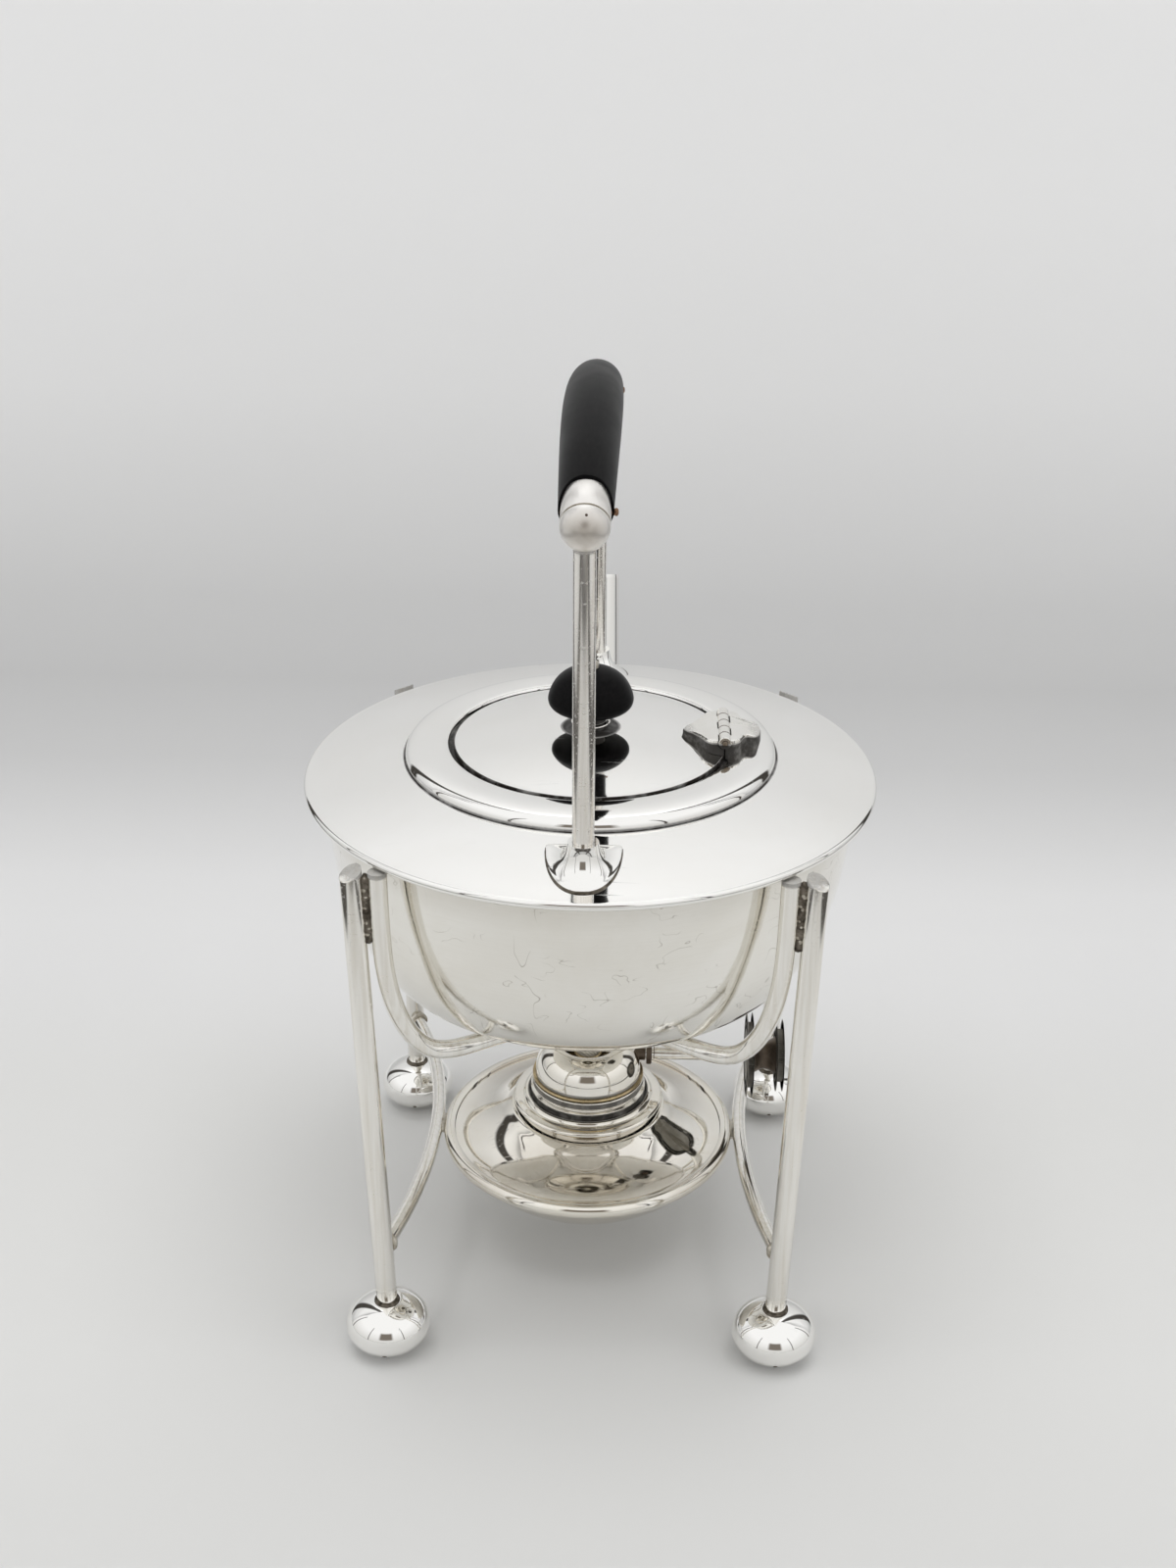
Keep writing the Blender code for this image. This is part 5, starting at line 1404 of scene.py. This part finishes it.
ringSizes = {"radius": 20.6, "base": 49.285, "top": 62.885, "inner": 17.5, "soft": (0.12, 2),
             "grooves": [(60.4, 0.6), (60.0, 1.2), (59.2, 1.2), (58.8, 0.0), (57.8, 0.0), (57.45, 0.6),
                         (56.9, 0.6), (56.6, 0.0)]}
gallerySizes = {"radius": 19.9, "base": 63.185, "thick": 1.0}
capSizes = {"radius": 18.9, "base": 64.485, "height": 11.4, "mouth": 9.9,
            "shares": [(0.0, 0.945), (0.03, 0.985), (0.10, 1.0), (0.26, 0.965), (0.46, 0.885),
                       (0.66, 0.76), (0.83, 0.58), (0.945, 0.35), (0.99, 0.15), (1.0, 0.0)]}
wickTubeSizes = {"radius": 5.0, "bore": 4.3, "top": 72.285, "foot": 43.985, "window": (3.6, 4.0, 6.2)}
wickSizes = {"radius": 4.0, "top": 73.985, "foot": 23.5}
winderSizes = {"along": 6.9, "height": 67.485, "start": -3.0, "shaft": 1.9, "shaftInner": 1.3,
               "rod": 2.4, "rodStart": 23.5,
               "bushStart": 14.2, "bush": 2.8, "bushBore": 2.0,
               "gland": [(2.1, 2.0), (3.6, 2.0), (4.3, 1.7), (4.3, 0.2), (4.1, 0.0), (2.1, 0.0)],
               "discAt": 56.9, "discWidth": 2.5, "discRadius": 11.8, "discTeeth": 90,
               "outerAt": 67.5, "outerWidth": 2.8, "outerRadius": 9.5, "outerTeeth": 74,
               "toothDepth": 0.42, "dish": [(0.504, 0.0), (0.5, -0.25), (1.8, 0.0), (0.3, 0.15)],
               "hubAt": 59.45, "hubBore": 2.0, "hubLength": 8.0,
               "hub": [(6.7, 8.0), (6.2, 7.2), (5.4, 5.7), (5.0, 4.0), (5.4, 2.3), (6.2, 0.8), (6.7, 0)]}


def layAlongWinder(piece, start):
    # turns a piece that is drawn upright onto the winder's axis
    return movePiece(piece, start, kettleY + winderSizes["along"], winderSizes["height"],
                     (0, quarterTurn, 0))


def makeBurnerRing():
    s = ringSizes
    inside = wickTubeSizes["radius"] + 0.3
    ring = [(s["inner"], s["top"]), (s["radius"] - 0.7, s["top"])]
    ring += arcPoints((s["radius"] - 0.9, s["top"] - 0.3), 0.3, 70, 0, 3)
    ring += [(s["radius"] - depth, height) for height, depth in s["grooves"]]
    ring += [(s["radius"], s["base"]), (inside, s["base"]), (inside, s["base"] + 1),
             (s["inner"], s["base"] + 1)]
    turnedPiece("burnerRing", "burner_ring", ring, 128, True, ringSilver, "burner_screw", 45,
                s["soft"])


def makeGallery():
    s = gallerySizes
    low, high, out = s["base"], s["base"] + s["thick"], s["radius"]
    inside = wickTubeSizes["radius"] + 0.1
    profile = [(inside, high), (out - 0.3, high), (out, high - 0.3), (out, low + 0.3), (out - 0.3, low),
               (inside, low)]
    turnedPiece("burnerGallery", "burner_gallery", profile, 128, True, burnerBrass, "burner", 45)


def makeBurnerCap():
    s = capSizes
    spread = s["radius"] - s["mouth"]
    base = s["base"] - 0.2
    outside = smoothPoints([(s["mouth"] + spread * a, base + (s["height"] + 0.2) * b)
                            for a, b in s["shares"]], 4)
    inside = [(s["mouth"] + (spread - 1) * a, base + (s["height"] - 0.9) * b)
              for a, b in s["shares"][::-1]]
    cap = movePiece(spinProfile("burnerDome", outside + inside, 128, True), 0, kettleY, 0)
    hole = addRod("bushHole", (0, kettleY + winderSizes["along"], winderSizes["height"]),
                  (26, kettleY + winderSizes["along"], winderSizes["height"]),
                  winderSizes["bush"] + 0.05, vertices=48)
    carve(cap, hole)
    dress(cap, "burnerDome", lampSilver, "burner", ["burner_dome"], 40)


def makeWickTube():
    s = wickTubeSizes
    profile = [(s["bore"], s["top"]), (s["radius"] - 0.3, s["top"]), (s["radius"], s["top"] - 0.3),
               (s["radius"], s["foot"]), (s["bore"], s["foot"])]
    tube = movePiece(spinProfile("wickTube", profile, 64, True), 0, kettleY, 0)
    deselect()
    bpy.ops.mesh.primitive_cube_add(size=mm, location=(0, (kettleY + 4) * mm, winderSizes["height"] * mm))
    window = bpy.context.object
    window.scale = s["window"]
    applyPlace(window)
    carve(tube, window)
    dress(tube, "wickTube", burnerBrass, "burner", ["wick_tube"], 40)


def makeBushAndGland():
    s = winderSizes
    length = ringSizes["radius"] - s["bushStart"]
    profile = [(s["bushBore"], length), (s["bush"] - 0.2, length), (s["bush"], length - 0.2),
               (s["bush"], 0), (s["bushBore"], 0)]
    bush = layAlongWinder(spinProfile("winderBush", profile, 48, True), s["bushStart"])
    dress(bush, "winderBush", darkBrassAndShade, "burner", ["winder_bush"], 40)

    gland = layAlongWinder(spinProfile("winderGland", s["gland"], 8, True), ringSizes["radius"] + 0.3)
    softenEdges(gland, 0.15, 2, 20)
    dress(gland, "winderGland", darkBrassAndShade, "burner", ["winder_gland"], 20)


def milledDisc(name, start, width, radius, teeth):
    # a disc whose rim is cut with fine teeth, its faces slightly dished
    depth = winderSizes["toothDepth"]
    deselect()
    bpy.ops.mesh.primitive_cylinder_add(vertices=teeth * 4, radius=radius * mm, depth=width * mm,
                                        location=(0, 0, width / 2 * mm))
    disc = bpy.context.object
    applyPlace(disc)
    shape = (0, 0.75, 1.0, 0.75)  # from a tooth's crest to the next
    for vertex in disc.data.vertices:
        angle = math.atan2(vertex.co.y, vertex.co.x)
        tooth = round(angle / (2 * math.pi) * teeth * 4) % 4
        share = 1 - depth * shape[tooth] / radius
        vertex.co.x *= share
        vertex.co.y *= share
    bpy.ops.object.mode_set(mode="EDIT")
    bpy.ops.mesh.select_mode(type="FACE")
    bpy.ops.mesh.select_all(action="DESELECT")
    bpy.ops.object.mode_set(mode="OBJECT")
    for face in disc.data.polygons:
        face.select = abs(face.normal.z) > 0.9
    bpy.ops.object.mode_set(mode="EDIT")
    for inward, sink in winderSizes["dish"]:
        bpy.ops.mesh.inset(thickness=inward * mm, depth=sink * mm)
    bpy.ops.mesh.select_mode(type="VERT")
    bpy.ops.object.mode_set(mode="OBJECT")
    disc.name = name
    return layAlongWinder(disc, start)


def makeSpindle():
    w = winderSizes
    start = w["start"]
    length = w["outerAt"] + w["outerWidth"] - start
    disc = w["discAt"] - start
    rod = w["rodStart"] - start
    bush = w["bushStart"] - start
    shaft = [(0, length), (1.5, length), (1.8, length - 0.2), (w["shaft"], length - 0.5),
             (w["shaft"], disc + 0.3), (w["rod"] - 0.15, disc), (w["rod"], disc - 0.3),
             (w["rod"], rod + 0.3), (w["rod"] - 0.3, rod), (w["shaft"], rod), (w["shaft"], bush),
             (w["shaftInner"], bush - 1.9), (w["shaftInner"], 0), (0, 0)]
    spindle = layAlongWinder(spinProfile("winderSpindle", shaft, 40), start)
    dress(spindle, "winderSpindle", tubeSilver, "winder", ["winder_spindle"], 40)


def makeSpool():
    w = winderSizes
    inner = milledDisc("winderDiscInner", w["discAt"], w["discWidth"], w["discRadius"], w["discTeeth"])
    dress(inner, "winderDiscInner", milledSteel, "winder", ["winder_disc_inner"], 30)
    outer = milledDisc("winderDiscOuter", w["outerAt"], w["outerWidth"], w["outerRadius"], w["outerTeeth"])
    dress(outer, "winderDiscOuter", milledSteel, "winder", ["winder_disc_outer"], 30)

    profile = [(w["hubBore"], w["hubLength"])] + smoothPoints(w["hub"], 4) + [(w["hubBore"], 0)]
    hub = layAlongWinder(spinProfile("winderHub", profile, 64, True), w["hubAt"])
    dress(hub, "winderHub", darkBrassAndShade, "winder", ["winder_hub"], 40)


def makeWick():
    radius, top, foot = (wickSizes[key] for key in ("radius", "top", "foot"))
    wick = [(0, top), (radius - 1.4, top - 0.1), (radius - 0.3, top - 0.5), (radius, top - 1.1),
            (radius, foot + 0.2), (radius - 0.2, foot), (0, foot)]
    turnedPiece("wick", "wick", wick, 64, False, cottonWick, "wick_feed", 50)


makeBurnerRing()
makeGallery()
makeBurnerCap()
makeWickTube()
makeBushAndGland()
makeSpindle()
makeSpool()
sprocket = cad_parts["winder_sprocket"]  # the frame's own shape stays, in a better finish
sprocket.data.materials.clear()
sprocket.data.materials.append(burnerBrass)
makeWick()
print("burner and winder made")


# the tones are painted light and shade on the backdrop along its run
stageSizes = {"front": -1600, "back": 330, "side": 1500, "bend": 120, "tall": 1700,
              "paintedLightTones": [(-1600, 0.60), (-260, 0.61), (-100, 0.65), (60, 0.665), (150, 0.70), (200, 0.715),
                        (240, 0.70), (290, 0.63), (340, 0.56), (400, 0.54), (461, 0.66), (561, 0.79),
                        (650, 0.83), (727, 0.83), (900, 0.93), (2030, 0.97)],
              "warmBefore": 150, "warmth": 0.985, "dark": (0.05, 0.045, 0.04),
              "darkSide": (430, 600), "darkFront": (-980, -760)}


def makeStage():
    # floor and wall in one sheet with a rounded bend, drawn from the side and extruded
    bend = stageSizes["bend"]
    wall = stageSizes["back"]
    points = [(stageSizes["front"], 0), (wall - bend, 0)]
    for step in range(1, 17):
        angle = quarterTurn * step / 16
        points.append((wall - bend + bend * math.sin(angle), bend - bend * math.cos(angle)))
    points.append((wall, stageSizes["tall"]))
    sheet = drawLine("backdrop", [Vector((-stageSizes["side"], y, z)) * mm for y, z in points])
    bpy.ops.mesh.extrude_edges_move(
        TRANSFORM_OT_translate={"value": (2 * stageSizes["side"] * mm, 0, 0)})
    bpy.ops.object.mode_set(mode="OBJECT")
    if sheet.data.polygons[0].normal.z < 0:
        pick(sheet)
        startEdit()
        bpy.ops.mesh.flip_normals()
        bpy.ops.object.mode_set(mode="OBJECT")
    bpy.ops.object.shade_smooth_by_angle(angle=math.radians(30))
    sheet.data.materials.append(paperMaterial())


def paperMaterial():
    # grey paper with painted light and shade along its run, lighter up the wall and darkest where the floor
    # bends into it, with the dark room past it seen in the metal only
    material, tree, shader, coords = newMaterial("palePaper")
    shader.inputs["Roughness"].default_value = 0.75
    shader.inputs["Specular IOR Level"].default_value = 0.2
    parts = tree.nodes.new("ShaderNodeSeparateXYZ")
    tree.links.new(coords, parts.inputs["Vector"])
    along = mathNode(tree, "ADD", parts.outputs["Y"], parts.outputs["Z"])
    paintedLightTones = stageSizes["paintedLightTones"]
    low, high = paintedLightTones[0][0], paintedLightTones[-1][0]
    ramp = tree.nodes.new("ShaderNodeValToRGB")
    tree.links.new(mapRange(tree, along, low * mm, high * mm, 0.0, 1.0), ramp.inputs["Fac"])
    ramp.color_ramp.elements[0].position = 0.0
    ramp.color_ramp.elements[1].position = 1.0
    for place, tone in paintedLightTones[1:-1]:
        ramp.color_ramp.elements.new((place - low) / (high - low))
    for element, (place, tone) in zip(ramp.color_ramp.elements, paintedLightTones):
        warmth = stageSizes["warmth"] if place < stageSizes["warmBefore"] else 1.0
        element.color = (tone, tone, tone * warmth, 1)
    away = mathNode(tree, "ABSOLUTE", parts.outputs["X"])
    low, high = [v * mm for v in stageSizes["darkSide"]]
    sideMask = band(tree, away, low, high, 0.02)
    low, high = [v * mm for v in stageSizes["darkFront"]]
    frontMask = band(tree, parts.outputs["Y"], low, high, 0.02)
    path = tree.nodes.new("ShaderNodeLightPath")
    dark = mathNode(tree, "MULTIPLY", mathNode(tree, "MAXIMUM", sideMask, frontMask),
                    path.outputs["Is Glossy Ray"])
    paper = paintOver(tree, ramp.outputs["Color"], dark, stageSizes["dark"])
    tree.links.new(paper, shader.inputs["Base Color"])

    # seen from behind the sheet is clear, so that the object can be looked at from there
    clear = tree.nodes.new("ShaderNodeBsdfTransparent")
    facing = tree.nodes.new("ShaderNodeNewGeometry")
    chosen = tree.nodes.new("ShaderNodeMixShader")
    tree.links.new(facing.outputs["Backfacing"], chosen.inputs["Fac"])
    tree.links.new(shader.outputs["BSDF"], chosen.inputs[1])
    tree.links.new(clear.outputs["BSDF"], chosen.inputs[2])
    tree.links.new(chosen.outputs["Shader"], tree.nodes["Material Output"].inputs["Surface"])
    return material


roomSizes = {"camera": (0.69, 0.69, 0.69), "soft": (0.42, 0.42, 0.42), "low": (0.72, 0.715, 0.70),
             "high": (0.98, 0.98, 0.98),
             "gap": (0.20, 0.175, 0.15), "gapTurn": (-50.0, 17.0, 3.0), "gapHeight": (0.18, 0.62, 0.04),
             "seam": (0.06, 0.05, 0.045), "seamAngles": (46.0, 100.0), "seamHeight": (-0.2, 0.75, 0.02)}


def makeWorld():
    # plain grey to the camera; the metal sees a pale tent with its seams and the dark gap in front
    world = bpy.data.worlds.new("paleRoom")
    bpy.context.scene.world = world
    world.use_nodes = True
    tree = world.node_tree
    back = tree.nodes["Background"]
    coords = tree.nodes.new("ShaderNodeTexCoord")
    parts = tree.nodes.new("ShaderNodeSeparateXYZ")
    tree.links.new(coords.outputs["Generated"], parts.inputs["Vector"])
    height = parts.outputs["Z"]
    front = mathNode(tree, "MULTIPLY", parts.outputs["Y"], -1.0)
    bearing = mathNode(tree, "ABSOLUTE", mathNode(tree, "ARCTAN2", parts.outputs["X"], front))
    turn = mathNode(tree, "MULTIPLY", bearing, 180 / math.pi)
    rise = mapRange(tree, height, 0.05, 0.6, 0.0, 1.0)
    tent = mixColours(tree, rise, roomSizes["low"], roomSizes["high"])

    gap = mathNode(tree, "MULTIPLY", band(tree, turn, *roomSizes["gapTurn"]),
                   band(tree, height, *roomSizes["gapHeight"]))
    tent = paintOver(tree, tent, gap, roomSizes["gap"])
    for angle in roomSizes["seamAngles"]:
        line = mathNode(tree, "MULTIPLY", band(tree, turn, angle - 1.0, angle + 1.0, 0.3),
                        band(tree, height, *roomSizes["seamHeight"]))
        tent = paintOver(tree, tent, line, roomSizes["seam"])
    path = tree.nodes.new("ShaderNodeLightPath")
    tent = paintOver(tree, tent, path.outputs["Is Diffuse Ray"], roomSizes["soft"])
    tent = paintOver(tree, tent, path.outputs["Is Camera Ray"], roomSizes["camera"])
    tree.links.new(tent, back.inputs["Color"])
    back.inputs["Strength"].default_value = 1.0


lightSizes = {"top": {"power": 13.0, "size": 1300, "place": (0, -100, 1500), "aim": (0, 0, 100)},
              "left": {"power": 4.0, "size": 900, "place": (-1200, -500, 700), "aim": (0, 0, 150)},
              "right": {"power": 4.0, "size": 900, "place": (1200, -500, 700), "aim": (0, 0, 150)}}


def makeLights():
    for name, facts in lightSizes.items():
        place = Vector(facts["place"]) * mm
        aim = Vector(facts["aim"]) * mm
        deselect()
        bpy.ops.object.light_add(type="AREA", location=place,
                                 rotation=(place - aim).to_track_quat("Z", "Y").to_euler())
        lamp = bpy.context.object
        lamp.name = name + "Light"
        lamp.data.shape = "SQUARE"
        lamp.data.size = facts["size"] * mm
        lamp.data.energy = facts["power"]
        lamp.visible_glossy = False


cameraSizes = {"place": (14.7, -586.3, 454.29), "lens": 44.363, "sensor": 36.0,
               "right": (0.999547, 0.0294, 0.006473), "up": (-0.018385, 0.425906, 0.904581),
               "back": (0.023838, -0.90429, 0.426253)}


def makeCamera():
    deselect()
    bpy.ops.object.camera_add(location=(0, 0, 0))
    camera = bpy.context.object
    camera.name = "photoCamera"
    place = Vector(cameraSizes["place"]) + Vector((0, kettleY, 0))
    axes = Matrix((cameraSizes["right"], cameraSizes["up"], cameraSizes["back"])).transposed()
    camera.matrix_world = Matrix.Translation(place * mm) @ axes.to_4x4()
    camera.data.lens = cameraSizes["lens"]
    camera.data.sensor_width = cameraSizes["sensor"]
    camera.data.sensor_fit = "AUTO"
    camera.data.clip_start = 0.01
    camera.data.clip_end = 20
    bpy.context.scene.camera = camera


makeStage()
makeWorld()
makeLights()
makeCamera()
bpy.context.scene.view_settings.view_transform = "Standard"
print("stage, light and camera made")
